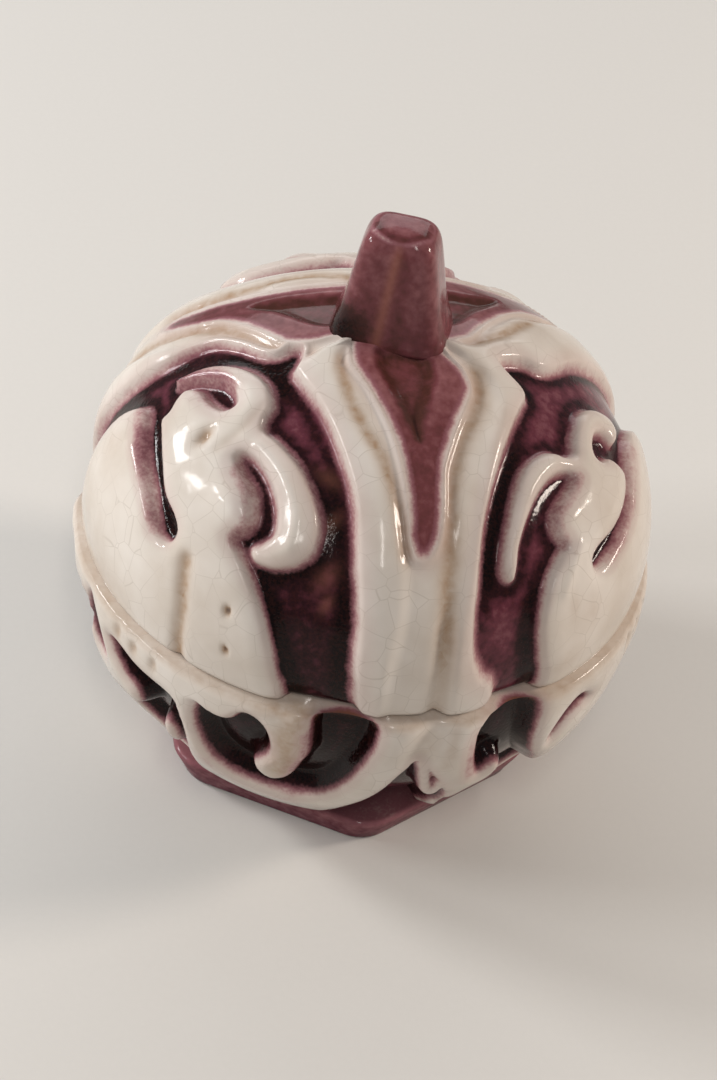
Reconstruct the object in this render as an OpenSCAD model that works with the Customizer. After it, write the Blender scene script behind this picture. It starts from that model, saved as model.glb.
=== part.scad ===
// Incense box of glazed earthenware: a domed lid on a round box with a hexagonal foot.
// Origin at the middle of the foot's underside, +Z up, the front panel faces -Y.

/* [Lid] */
// Step by which the lid stands in from the box's widest, all round
rim_step = 0.8; // [0.4:0.1:2]
// Rise from the lid's widest level to its crown, over the relief
lid_rise = 26; // [25:0.5:30]
// Radius of the lid's rounded side in section
lid_side_r = 22; // [19:0.5:23]
// Height of the lid's widest level above its lower edge
lid_drop = 4; // [1:0.1:5]
// Thickness of the lid's wall under the relief
lid_wall = 2.8; // [2:0.1:3.5]
// Depth of the lid's relief
lid_relief = 1.8; // [1:0.1:2.4]

/* [Box] */
// Radius of the box at its widest, over the relief
box_r = 33.4; // [31:0.1:37]
// Height of the box from the foot's upper face to the seam
box_h = 24.7; // [22:0.1:29]
// Radius of the box's rounded side in section
box_side_r = 28.5; // [27:0.5:34]
// Depth of the box's widest level below the seam
box_drop = 1.5; // [1:0.1:4]
// Thickness of the box's wall under the relief
box_wall = 3; // [2:0.1:4]
// Depth of the box's relief
box_relief = 3; // [2:0.1:3.6]
// Thickness of the box's floor
floor_t = 3.5; // [2.5:0.1:5]
// Height of the raised band under the seam
band_h = 3.2; // [2:0.1:5]
// Width by which a recess narrows down its sloping walls, half way
wall_slope = 0.6; // [0.3:0.1:1]

/* [Seat] */
// Height of the locating lip above the seam
lip_h = 3.2; // [2:0.1:4]
// Thickness of the locating lip
lip_t = 1.8; // [1.4:0.1:2.4]
// Depth to which the lip is rooted below the seam
lip_root = 4; // [3:0.1:6]
// Play between the lip and the lid, all round
lip_play = 0.5; // [0.3:0.05:0.8]
// Open seam between the lid's edge and the box's rim
seam_gap = 0.1; // [0.05:0.01:0.2]

/* [Knob] */
// Width of the knob where it meets the lid
knob_w = 10.8; // [10:0.1:14]
// Width of the knob at its top
knob_top_w = 7.6; // [6:0.1:10]
// Depth of the knob where it meets the lid
knob_d = 9.1; // [8:0.1:12]
// Depth of the knob at its top
knob_top_d = 7.3; // [6:0.1:10]
// Height of the knob above the crown
knob_h = 12; // [8:0.5:16]
// Radius of the knob's corners
knob_corner_r = 2.4; // [1.5:0.1:2.8]
// Turn of the knob away from the front panel, in degrees
knob_turn = -20; // [-45:1:45]

/* [Foot] */
// Radius of the foot to its corners, on the table
foot_r = 22.8; // [21:0.1:26]
// Radius of the foot to its corners, under the box
foot_top_r = 24.4; // [22:0.1:26]
// Height of the foot
foot_h = 4.3; // [3:0.1:6]

/* [Panels] */
// Half width of a panel of the box, in degrees round the axis
panel_half = 9; // [6:0.5:11]
// Depth of the channel down a panel of the lid
channel_d = 0.7; // [0.3:0.1:1]
// Length of a spear from the lid's axis to its tip
spear_reach = 26; // [22:0.5:28]
// Half width of a spear at its shoulders
spear_half = 4.8; // [3.5:0.1:5.5]
// Distance of the spear's shoulders from the lid's axis
spear_shoulder = 10; // [9:0.1:12]
// Height of a spear above the lid's ground
spear_h = 1.3; // [0.8:0.1:1.8]
// Depth of the lozenge in a spear, as a share of the spear's height
lozenge_share = 0.65; // [0.4:0.05:0.8]

/* [Hidden] */
$fn = 96;

cream = [0.86, 0.82, 0.76];
purple = [0.36, 0.15, 0.2];
sectors = 3;
third = 360 / sectors;
corners = 6;
sector_tilt = 55;
lid_r = box_r - rim_step;
reach = 4 * lid_r;
hair = 0.01;
edge_steps = 3;
recess_steps = 2;

seam_z = foot_h + box_h;
lid_z = seam_z + seam_gap + lid_drop;
crown_z = lid_z + lid_rise;
box_mid_z = seam_z - box_drop;
box_mid_x = box_r - box_side_r;
lid_side_x = lid_r - lid_side_r;
lid_top_r = (pow(lid_side_x, 2) + pow(lid_rise, 2) - pow(lid_side_r, 2)) / (2 * (lid_rise - lid_side_r));
lid_top_z = lid_rise - lid_top_r;
lid_join = atan2(lid_side_x, -lid_top_z);
lid_inner = lid_relief + lid_wall;
lid_edge_r = lid_side_x + sqrt(pow(lid_side_r - lid_inner, 2) - pow(lid_drop, 2));
lip_r = lid_edge_r - lip_play;
lip_seat_r = box_r - box_relief - box_wall / 2;

// Outlines of the lid's relief on a plane square to the middle of a sector: x runs towards the front
// panel, in hundredths of the lid's radius, and y runs up the dome, in hundredths of a length that
// follows the lid's rise.
lid_up = lid_rise * 163 / 130;
arch_inside = [[75, -92], [75, -43], [75, -34], [73, -25], [70, -15], [66, -7], [60, 2], [54, 10], [46, 17],
               [37, 24], [25, 30], [12, 34], [2, 36], [-3, 37], [-6, 40], [-9, 43], [-13, 41], [-15, 37],
               [-20, 34], [-29, 31], [-38, 26], [-44, 20], [-48, 13], [-53, 3], [-60, -7], [-66, -18],
               [-71, -31], [-74, -43], [-74, -92]];
arch_inside_right = [[61, -92], [68, -47], [72, -37], [74, -26], [71, -14], [66, -6], [60, 2], [52, 10], [42, 17],
                     [31, 21], [18, 25], [7, 26], [2, 27], [-1, 29], [-3, 35], [-6, 38], [-10, 37], [-14, 33],
                     [-17, 27], [-21, 23], [-31, 19], [-41, 13], [-50, 6], [-58, -6], [-66, -18], [-71, -31],
                     [-74, -43], [-74, -92]];
scroll_edge = [[58, -92], [57, -55], [55, -48], [50, -37], [43, -28], [34, -21], [28, -17], [26, -15],
               [29, -10], [26, -5], [20, 0], [13, 3], [8, 6], [10, 8], [17, 8], [25, 6], [32, 0], [36, -6],
               [35, -12], [33, -15], [36, -18], [43, -16], [48, -10], [49, -3], [45, 5], [37, 11], [27, 15],
               [15, 17], [8, 17], [5, 20], [3, 24], [-3, 27], [-10, 28], [-19, 26], [-27, 22], [-33, 16],
               [-37, 9], [-34, 8], [-29, 13], [-25, 17], [-18, 20], [-12, 20], [-8, 17], [-10, 13], [-17, 12],
               [-25, 12], [-29, 9], [-29, 5], [-28, 1], [-28, -4], [-22, -8], [-14, -13], [-6, -20], [2, -24],
               [7, -27], [6, -32], [0, -32], [-11, -24], [-21, -17], [-32, -10], [-39, -5], [-44, -8],
               [-50, -15], [-55, -28], [-58, -43], [-58, -92]];
scroll_edge_right = [[48, -92], [52, -55], [54, -46], [55, -36], [52, -29], [47, -21], [39, -17], [35, -14],
                     [35, -9], [33, -4], [26, -2], [19, -2], [14, 0], [17, 4], [23, 6], [32, 5], [41, 2],
                     [48, -3], [53, -9], [56, -11], [58, -9], [55, -3], [49, 3], [40, 9], [32, 13], [25, 14],
                     [18, 13], [13, 10], [11, 6], [7, 4], [2, 6], [-4, 8], [-11, 9], [-18, 7], [-23, 3],
                     [-26, -3], [-24, -8], [-19, -9], [-16, -7], [-15, -3], [-11, 0], [-5, 0], [-2, -3],
                     [-3, -6], [-7, -8], [-10, -12], [-11, -17], [-8, -21], [0, -24], [10, -26], [20, -25],
                     [25, -26], [27, -29], [25, -32], [17, -31], [7, -30], [-2, -27], [-9, -24], [-15, -19],
                     [-23, -16], [-32, -15], [-41, -17], [-49, -22], [-55, -31], [-59, -46], [-60, -92]];

// Outline of the channel down a panel of the lid, in hundredths of the lid's radius, seen from above:
// x to the right, y outwards
channel_edge = [[-14, 110], [-11, 98], [-8, 92], [-8, 80], [-10, 66], [-14, 47], [-21, 26], [-23, 6], [21, 6],
                [33, 28], [32, 40], [27, 55], [22, 76], [17, 92], [14, 98], [13, 110]];

// Outlines of a spear and of the lozenge in it, seen from above: shares of the half width, of the
// distance to the shoulders and of the length beyond them
spear_edge = [[0.1, 1, 1], [-0.15, 1, 0.92], [-0.25, 1, 0.57], [-0.44, 1, 0.32], [-0.7, 1, 0.08], [-1.08, 0.66, 0],
              [-0.9, 0, 0], [0.8, 0, 0], [0.92, 0.5, 0], [1.15, 0.72, 0], [1.3, 0.94, 0], [1.02, 1, 0.24],
              [0.69, 1, 0.46], [0.52, 1, 0.62], [0.42, 1, 0.9]];
lozenge_edge = [[-0.3, 0.46, 0], [0.4, 0.57, 0], [0.58, 0.8, 0], [0.42, 1, 0.06], [0.15, 1, 0.32],
                [-0.1, 1, 0.16], [-0.36, 0.86, 0], [-0.44, 0.62, 0]];

// Outlines of the recesses in the box's side: x in degrees from the front panel, y in hundredths of the
// box's height
hook_recess = [[-6, 97], [-5.3, 87], [-7, 73], [-10, 57], [-14.5, 42], [-22.5, 36], [-32.5, 38], [-39.5, 49],
               [-42.5, 69], [-42, 85], [-37, 83], [-33, 89], [-29, 91], [-26, 81], [-25.5, 74], [-27.5, 63],
               [-28.5, 53], [-24.5, 50], [-21, 59], [-18.5, 75], [-18.5, 90], [-16.5, 99], [-10, 101]];
middle_recess = [[-45.5, 61], [-47, 77], [-52.5, 81], [-62, 84], [-66.5, 82], [-64.5, 71], [-59.5, 61],
                 [-58.5, 56], [-61.5, 48], [-68, 44], [-70, 26], [-65, 13], [-60, 9], [-54, 10], [-47.5, 27],
                 [-45.5, 51]];
finger_slit = [[-75.5, 92], [-71.5, 82], [-70, 68], [-73.5, 56], [-78.5, 60], [-79, 75]];
claw_recess = [[16.5, 98], [14.5, 90], [14.5, 81], [17, 60], [22, 62], [21, 50], [15.5, 36], [14.5, 27],
               [18.5, 12], [31, 7], [40.5, 8], [48.5, 13], [41.5, 28], [35.5, 45], [30.5, 63], [29, 81],
               [28.5, 92], [26.5, 100], [21.5, 102]];
lens_slit = [[33.5, 66], [35, 78], [39.5, 87], [43.5, 82], [41, 73], [36.5, 61]];
side_oval = [[53, 51], [54.5, 68], [60, 80], [65.5, 68], [67, 51], [65.5, 33], [60, 21], [54.5, 33]];
panel_gap = [[2.7, 77], [0, 65], [-3, 49], [-8.5, 30], [-11.5, 15], [-12.5, -12], [12, -12], [12.5, 15],
             [13.5, 29], [11, 47], [7, 64]];
// Outlines within which a strand of the box's relief is a hook
hook_bound = [[-31, 46], [-31, 101], [-16, 101], [-16, 46]];
claw_bound = [[26, 18], [26, 101], [50, 101], [50, 18]];
// Recesses and hooks of a sector with hooks, and of the sector with claws
hook_sector = [hook_recess, middle_recess, finger_slit, mirrored(hook_recess, -121.5)];
claw_sector = [claw_recess, lens_slit, side_oval, mirrored(claw_recess, third)];
hook_bounds = [hook_bound, mirrored(hook_bound, -121.5)];
claw_bounds = [claw_bound, mirrored(claw_bound, third)];

// Outline with its angles counted back from a sum
function mirrored(edge, sum) = [for (p = edge) [sum - p[0], p[1]]];
function middle(edge) = (max([for (p = edge) p[0]]) + min([for (p = edge) p[0]])) / 2;
// Outline moved in by a distance
function inward(list, by) =
    let (ends = [for (i = [0 : len(list) - 1]) cross(list[i], at(list, i + 1))],
         way = sign(ends * [for (p = list) 1]))
    [for (i = [0 : len(list) - 1])
        let (along = at(list, i + 1) - at(list, i - 1))
        list[i] + way * by * [-along[1], along[0]] / norm(along)];
// Angle below level of the box's section at a share of its height
function slope(share) = asin((box_h * (1 - share) - box_drop) / box_side_r);
function at(list, i) = list[(i + len(list)) % len(list)];
// Closed curve through the points of an outline
function smooth(list, steps) =
    [for (i = [0 : len(list) - 1], k = [0 : steps - 1])
        let (t = k / steps, a = at(list, i - 1), b = at(list, i), c = at(list, i + 1), d = at(list, i + 2))
        0.5 * (2 * b + (c - a) * t + (2 * a - 5 * b + 4 * c - d) * t * t
               + (3 * b - a - 3 * c + d) * t * t * t)];

// Section of the lid's outside, set in by a depth, from the seam up
module lid_section(depth) {
    translate([0, lid_z])
    intersection() {
        union() {
            translate([lid_side_x, 0])
            circle(lid_side_r - depth);
            intersection() {
                translate([0, lid_top_z])
                circle(lid_top_r - depth);
                polygon([[0, lid_top_z], [0, reach], [reach * tan(lid_join), lid_top_z + reach]]);
            }
        }
        translate([0, -lid_drop])
        square([reach, reach]);
    }
}

// Section of the box's outside, set in by a depth, from a level up to the seam
module box_section(depth, from) {
    intersection() {
        union() {
            translate([box_mid_x, box_mid_z])
            circle(box_side_r - depth);
            translate([0, from])
            square([box_mid_x, seam_z - from]);
        }
        translate([0, from])
        square([reach, seam_z - from]);
    }
}

// Skin of the lid in which its relief stands
module lid_skin(height) {
    rotate_extrude()
    difference() {
        lid_section(lid_relief - height);
        lid_section(lid_relief);
    }
}

// Space outside a depth of the lid
module lid_shell(depth) {
    rotate_extrude()
    difference() {
        lid_section(-lid_relief);
        lid_section(depth);
    }
}

// Skin of the box in which its relief stands, between two levels
module box_skin(from, to) {
    rotate_extrude()
    intersection() {
        difference() {
            box_section(0, foot_h);
            box_section(box_relief, foot_h);
        }
        translate([0, from])
        square([reach, to - from]);
    }
}

// Wedge about a direction, given in degrees from the front
module wedge(turn, half) {
    rotate([0, 0, turn])
    linear_extrude(reach)
    polygon([[0, 0], [-reach * tan(half), -reach], [reach * tan(half), -reach]]);
}

// Prism through a lid sector, square to its middle
module sector_prism(turn, flip) {
    translate([0, 0, lid_z])
    rotate([sector_tilt, 0, turn])
    mirror([flip, 0, 0])
    linear_extrude(reach)
    children();
}

module lid_outline(edge) {
    polygon([for (p = smooth(edge, edge_steps)) [p[0] * lid_r, p[1] * lid_up] / 100]);
}

// Prism over a spear or its lozenge, from an outline in shares
module spear_prism(turn, edge) {
    rotate([0, 0, turn])
    linear_extrude(reach)
    polygon(smooth([for (p = edge)
        [p[0] * spear_half, -p[1] * spear_shoulder - p[2] * (spear_reach - spear_shoulder)]], recess_steps));
}

// Prism through the box's side, square to the middle of an outline in degrees and shares of height; it
// meets the outline half way down the relief
module side_prism(edge, turn, inset) {
    way = middle(edge);
    half_r = box_side_r - box_relief / 2;
    laid = [for (p = edge)
        let (low = slope(max(p[1], 0) / 100))
        [(box_mid_x + half_r * cos(low)) * sin(p[0] - way),
         box_mid_z - half_r * sin(low) + min(p[1], 0) * box_h / 100]];
    rotate([90, 0, turn + way])
    linear_extrude(reach)
    polygon(inward(laid, inset));
}

// Recess in the box's side
module recess(edge, turn) {
    side_prism(smooth(edge, recess_steps), turn, wall_slope);
}

// All recesses of a sector
module sector_recesses(edges, turn) {
    for (edge = edges)
        recess(edge, turn);
}

module bowl() {
    color(cream)
    rotate_extrude() {
        difference() {
            box_section(box_relief, foot_h);
            box_section(box_relief + box_wall, foot_h + floor_t);
        }
        translate([lip_r - lip_t, seam_z - lip_root])
        square([lip_t, lip_root + lip_h]);
        translate([lip_r - lip_t, seam_z - lip_root])
        square([lip_seat_r - lip_r + lip_t, lip_root]);
    }
}

module foot() {
    color(purple)
    rotate([0, 0, -90])
    linear_extrude(foot_h, scale = foot_top_r / foot_r)
    circle(foot_r, $fn = corners);
}

module rim_band() {
    color(cream)
    difference() {
        box_skin(seam_z - band_h, seam_z);
        for (i = [0, 2, 3]) {
            recess(hook_sector[i], 0);
            recess(hook_sector[i], -third);
        }
        recess(claw_sector[0], 0);
        recess(claw_sector[3], 0);
    }
}

// Panel of the box between the last recess of one sector and the first of the next
module panel(turn, before, before_turn, after, after_turn) {
    color(cream)
    difference() {
        intersection() {
            box_skin(foot_h, seam_z - band_h);
            wedge(turn, panel_half);
        }
        recess(panel_gap, turn);
        recess(before, before_turn);
        recess(after, after_turn);
    }
}

module hooks(turn, bounds, edges) {
    color(cream)
    difference() {
        intersection() {
            box_skin(foot_h, seam_z - band_h);
            for (bound = bounds)
                side_prism(bound, turn, 0);
        }
        sector_recesses(edges, turn);
    }
}

module swag(turn, middle_turn, bounds, edges) {
    color(cream)
    difference() {
        intersection() {
            box_skin(foot_h, seam_z - band_h);
            wedge(middle_turn, third / 2 - panel_half);
        }
        sector_recesses(edges, turn);
        for (bound = bounds)
            side_prism(bound, turn, 0);
        recess(panel_gap, middle_turn - third / 2);
        recess(panel_gap, middle_turn + third / 2);
    }
}

module dome() {
    color(purple)
    rotate_extrude()
    difference() {
        lid_section(lid_relief);
        lid_section(lid_inner);
    }
}

// Thin oblong with round corners, one level of the knob
module knob_level(width, depth, z) {
    for (sx = [-1, 1], sy = [-1, 1])
        translate([sx * (width / 2 - knob_corner_r), sy * (depth / 2 - knob_corner_r), z])
        cylinder(r = knob_corner_r, h = hair, $fn = 32);
}

// Oblong space that the knob's root takes up in the lid's relief
module knob_root() {
    rotate([0, 0, knob_turn])
    translate([-knob_w / 2, -knob_d / 2, lid_z])
    cube([knob_w, knob_d, lid_rise + hair]);
}

module knob() {
    color(purple) {
        rotate([0, 0, knob_turn])
        hull() {
            knob_level(knob_w, knob_d, crown_z);
            knob_level(knob_top_w, knob_top_d, crown_z + knob_h - knob_corner_r / 2);
            knob_level(knob_top_w - knob_corner_r / 2, knob_top_d - knob_corner_r / 2, crown_z + knob_h - hair);
        }
        difference() {
            knob_root();
            rotate_extrude()
            lid_section(lid_relief);
        }
    }
}

// Channel down a panel of the lid, cut from the outside of the relief
module channel(turn) {
    laid = [for (p = smooth(channel_edge, recess_steps)) [p[0], -p[1]] * lid_r / 100];
    intersection() {
        lid_shell(channel_d);
        rotate([0, 0, turn])
        linear_extrude(reach)
        polygon(inward(laid, 1.5 * wall_slope));
    }
}

module arch(turn, flip, edge) {
    color(cream)
    difference() {
        intersection() {
            lid_skin(lid_relief);
            wedge(turn, third / 2);
        }
        sector_prism(turn, flip)
        lid_outline(edge);
        spear_prism(turn - third / 2, spear_edge);
        spear_prism(turn + third / 2, spear_edge);
        channel(turn - third / 2);
        channel(turn + third / 2);
        knob_root();
    }
}

module spear(turn) {
    color(purple)
    difference() {
        intersection() {
            lid_skin(spear_h);
            spear_prism(turn, spear_edge);
            wedge(turn, third / 2);
        }
        intersection() {
            lid_shell(lid_relief - spear_h * (1 - lozenge_share));
            spear_prism(turn, lozenge_edge);
        }
        knob_root();
    }
}

module scroll(turn, flip, edge) {
    color(cream)
    intersection() {
        lid_skin(lid_relief);
        sector_prism(turn, flip)
        lid_outline(edge);
    }
}

bowl();
foot();
rim_band();
panel(0, hook_sector[0], 0, claw_sector[0], 0);  // panel_front
panel(third, claw_sector[3], 0, hook_sector[3], -third);  // panel_right
panel(-third, hook_sector[0], -third, hook_sector[3], 0);  // panel_left
hooks(0, hook_bounds, hook_sector);  // hooks_front_left
hooks(0, claw_bounds, claw_sector);  // hooks_front_right
hooks(-third, hook_bounds, hook_sector);  // hooks_back
swag(0, -third / 2, hook_bounds, hook_sector);  // swag_front_left
swag(0, third / 2, claw_bounds, claw_sector);  // swag_front_right
swag(-third, -3 * third / 2, hook_bounds, hook_sector);  // swag_back
dome();
knob();
arch(-third / 2, 0, arch_inside);  // arch_front_left
arch(third / 2, 1, arch_inside_right);  // arch_front_right
arch(3 * third / 2, 0, arch_inside);  // arch_back
spear(0);  // spear_front
spear(third);  // spear_right
spear(-third);  // spear_left
scroll(-third / 2, 0, scroll_edge);  // scroll_front_left
scroll(third / 2, 1, scroll_edge_right);  // scroll_front_right
scroll(3 * third / 2, 0, scroll_edge);  // scroll_back
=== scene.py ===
"""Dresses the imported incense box: a lidded box of moulded earthenware under cream and purple glaze."""

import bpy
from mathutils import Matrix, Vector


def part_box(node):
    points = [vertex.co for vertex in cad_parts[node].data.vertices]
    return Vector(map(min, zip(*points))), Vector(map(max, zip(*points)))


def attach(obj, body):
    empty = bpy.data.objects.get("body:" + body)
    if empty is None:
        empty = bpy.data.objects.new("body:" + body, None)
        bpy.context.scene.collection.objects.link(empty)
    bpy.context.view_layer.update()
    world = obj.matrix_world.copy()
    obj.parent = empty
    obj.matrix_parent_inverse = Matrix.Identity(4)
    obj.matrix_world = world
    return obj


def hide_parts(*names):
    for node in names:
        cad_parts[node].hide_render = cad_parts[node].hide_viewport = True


bl_info = {
    "name": "Glazed incense box",
    "version": (1, 0, 0),
    "blender": (4, 5, 0),
    "location": "3D View > Sidebar > Incense box",
    "description": "Makes a lidded earthenware box with carved relief under cream and purple glaze",
    "category": "Add Mesh",
}

import math

import bmesh
import bpy
import numpy as np
from bpy.props import FloatProperty, FloatVectorProperty, IntProperty, PointerProperty
from mathutils import Matrix, Vector

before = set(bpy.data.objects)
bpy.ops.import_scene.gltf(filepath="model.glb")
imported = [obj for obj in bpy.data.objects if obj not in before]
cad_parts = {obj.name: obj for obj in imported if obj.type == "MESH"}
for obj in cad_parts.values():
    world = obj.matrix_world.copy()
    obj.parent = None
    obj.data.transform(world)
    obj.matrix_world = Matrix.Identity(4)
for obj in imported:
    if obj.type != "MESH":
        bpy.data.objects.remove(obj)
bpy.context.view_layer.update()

MM = 0.001

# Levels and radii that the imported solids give, in metres
FOOT_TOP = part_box("foot")[1][2]
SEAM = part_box("rim_band")[1][2]
LID_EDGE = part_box("dome")[0][2]
LIP_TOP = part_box("bowl")[1][2]
RIM_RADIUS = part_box("rim_band")[1][0]
KNOB_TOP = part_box("knob")[1][2]
FOOT_RADIUS = -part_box("foot")[0][1]

# Directions round the axis in degrees, counted from the front panel towards +X
PANELS = (0, 120, -120)
SECTORS = (-60, 60, 180)
RIGHT_SECTOR = 60
# Half the width of a sector, and the angle from a panel at which that panel's details start to fade
HALF_SECTOR = 60
FADE_START = 46
# Tilt in degrees of the plane that a sector's outlines are drawn on
SECTOR_TILT = 55
# Ends of the names of the solids that repeat round the axis
PANEL_SIDES = ("front", "right", "left")
SECTOR_SIDES = ("front_left", "front_right", "back")

# How many times faster than by the millimetre the glaze changes across the edge of a panel and of a recess
BAND_CRISPNESS = 1.35
BOX_CRISPNESS = 2.2
# Depths in millimetres that stand for far outside and far inside a form
FAR_OUT = -3.0
FAR_IN = 9.0
# Depth into the cream and stain of the plain glaze inside the lid and the box
INSIDE_CREAM = 3
INSIDE_STAIN = 0.3

# Edge of a raised form on the lid: widths in millimetres and shares of the relief that its hollow ground,
# its wall and its rounded shoulder have
HOLLOW_WIDTH = 3
HOLLOW_SHARE = 0.12
WALL_SPAN = (-0.5, 0.45)
WALL_SHARE = 0.56
SHOULDER_WIDTH = 2.4
SHOULDER_SHARE = 0.32
# The same for the wall and the shoulder of a recess in the box
RECESS_SPAN = (-1.5, 0.25)
RECESS_SHARE = 0.84
RECESS_SHOULDER_WIDTH = 2
RECESS_SHOULDER_SHARE = 0.16
# Depths in millimetres between which a detail fades in: on the cream of a panel, away from a panel's edge,
# on a scroll or spear, in a trough, and on the cream of the box
PANEL_FADE = (0, 0.9)
BAND_FADE = (0, 1)
FORM_FADE = (-0.2, 0.8)
TROUGH_FADE = (0.2, -0.6)
BOX_FADE = (-0.8, 0.2)
# Panel of the lid in millimetres: side and depth of the channel, and the crest beside the spear with its
# height, its distance from the spear and its width
CHANNEL_SIDE = (0, 1.8)
CHANNEL_DEPTH = 0.5
CREST_HEIGHT = 0.3
CREST_PLACE = 0.55
CREST_WIDTH = 0.45
# Spear in millimetres: its side and height, and the side and depth of its lozenge
SPEAR_SIDE = (-1, -0.1)
SPEAR_HEIGHT = 1.25
LOZENGE_SIDE = (-0.4, 1.5)
LOZENGE_DEPTH = 0.8

# Pooling of the purple: nought is thin and rose, one is black. On a spear: at its root, more at its tip and
# in its lozenge, where its darker sides are also painted shade, less in the middle of that, with the depths
# or radii between which each comes in
SPEAR_FADE = (-1.6, -0.4)
SPEAR_POOL = 0.16
TIP_POOL = 0.22
TIP_RADII = (10, 17)
LOZENGE_POOL_AND_SHADE = 0.5
LOZENGE_FADE = (-0.3, 0.8)
MIDDLE_POOL_AND_SHADE = -0.2
MIDDLE_FADE = (1.2, 2.6)
SPEAR_STAIN = 0.16
# In a sector: more under the peak of the arch, less on the upper levels
PEAK_POOL = 0.5
UPPER_POOL = -0.12
UPPER_LEVELS = (3, 9)
# Levels between which the edge of a scroll grows crisper
CRISP_LEVELS = (-6, -11)
# In a recess of the box: on its floor, more beside the wall with its distance and width, less in the middle
RECESS_POOL = 0.7
RECESS_WALL_POOL = 0.5
RECESS_WALL_PLACE = 1.71
RECESS_WALL_WIDTH = 1.29
RECESS_MIDDLE_POOL = -0.12
RECESS_MIDDLE = (2.57, 6.14)
# Tan along the seam of the box: its strength and width
SEAM_STAIN = 0.6
SEAM_STAIN_WIDTH = 0.7

# Glaze on the knob: dark runs down its front with their place across, width and depth in the pool, and a
# scorched corner at its base with its place, radius and depth
KNOB_RUNS = ((-2.6, 1.3, 0.12), (1, 0.9, 0.2))
KNOB_SCORCH = ((-4.8, -3.4), 2.6, 0.7)
# Rim of the knob's top, worn thin and painted paler as a highlight, and dark groove inside it: radius and
# width
KNOB_RIM = (3.5, 0.6)
KNOB_GROOVE = (2.8, 0.4)
# Radii between which the facet on the knob's top comes in, painted paler as a sheen of reflected light
SHEEN_FACET_RADII = (3, 1.6)
# Warm streak down the knob's front: place across at the base, shift up to the top, and width
KNOB_STREAK = (-0.9, 1.2, 0.55)
# Shares of the knob's height between which the base, the runs, the streak, the rim and the top come in
BASE_SPAN = (0.4, 0)
RUN_SPAN = (0.95, 0.75)
STREAK_SPAN = (1, 0.8)
RIM_SPAN = (0.85, 0.95)
TOP_SPAN = (0.9, 0.98)
# Least cosine of the angle from the knob's front on its front face
FACE_COSINE = 0.5
# Depth into the cream on the knob: all over, and more on the rim and the facet, where it paints a highlight
# and a sheen
KNOB_EDGE = -2.6
RIM_HIGHLIGHT_EDGE = 2.1
PAINTED_SHEEN_EDGE = 1.6
# Pool on the knob: all over, and more at the base and in the groove; stain: all over, and more in the streak
KNOB_POOL = 0.22
BASE_POOL = 0.15
GROOVE_POOL = 0.3
KNOB_STAIN = 0.14
STREAK_STAIN = 0.4
# Painted highlight along the upper edge of the foot, paler and pinker: its width, and what it adds to the
# depth into the cream and to the pool
FOOT_HIGHLIGHT_WIDTH = 1.1
HIGHLIGHT_EDGE = 2.3
HIGHLIGHT_POOL = -0.2
# Pool on the rest of the foot
FOOT_POOL = 0.32
# Rounding along the seam in millimetres: depth and width, on the lid and on the box
LID_ROUNDING = (0.4, 0.45)
BOX_ROUNDING = (0.5, 0.5)
# How near in millimetres to the arc of a section a place counts as outside
ON_ARC = 0.05
# Smallest radius in millimetres that a direction is worked out from, and distance at which vertices merge
LEAST_RADIUS = 0.001
MERGE = 0.002 * MM
# Cut corners of the lip, across and down
LIP_CHAMFER = (0.4 * MM, 0.5 * MM)

# Steps of the arcs in section: the crown under the knob, the rest of the lid's top, its side and its inside,
# and the side and the inside of the box
CROWN_STEPS = 3
TOP_STEPS = 74
SIDE_STEPS = 68
INSIDE_STEPS = 8
BOX_STEPS = 108
BOX_INSIDE_STEPS = 24
KNOB_TURNS = 128
# Share of the lid's top arc that is crown
CROWN_SHARE = 0.2
# Foot: its sides, steps of an upright corner and of a softened edge, and share of its radius that is flat cap
FOOT_SIDES = 6
CORNER_STEPS = 6
BEVEL_STEPS = 4
CAP_SHARE = 0.7

# Sizes of the patterns in the glaze and the paper, in millimetres
DRIFT_SIZE = 9
FLECK_SIZE = 1.1
SPECK_SIZE = 0.35
WAVE_SIZE = 3
CELL_SIZE = 2.8
BEND_SIZE = 4
FIBRE_SIZE = 0.8
# How far the net of the crackle is bent, and heights of the glaze's waves, of its froth and of the fibre
BEND_REACH = 0.6
WAVE_HEIGHT = 0.12
FROTH_HEIGHT = 0.055
FIBRE_HEIGHT = 0.05
# Sockets of a Mix node for colours: the share, the two colours and the result
SHARE = 0
FIRST = 6
SECOND = 7
MIXED = 2

# Lamps: name, setting with the power, tint, azimuth and elevation in degrees, width and height in metres
LAMPS = (("window_behind", "back_power", "#FFFFFF", 172, 32, 0.6, 0.2),
         ("window_left_back", "key_power", "#FFFFFF", -114, 26, 0.11, 0.09),
         ("window_left_front", "side_power", "#FFFFFF", -91, 26, 0.13, 0.045),
         ("lamp_right", "fill_power", "#FFF1E4", 87, 24, 0.1, 0.09),
         ("lamp_front", "front_power", "#FFF8F2", -10, 47, 0.03, 0.2))
# Distance of the lamps, half width of the floor and nearest distance that the camera shows, in metres
LAMP_DISTANCE = 0.5
FLOOR_REACH = 2
CAMERA_START = 0.01
ROOM_TINT = "#F2F3F5"
# Height of the point that the lamps face, which the camera faces too but for its own offsets
AIM_HEIGHT = 33 * MM

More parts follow.
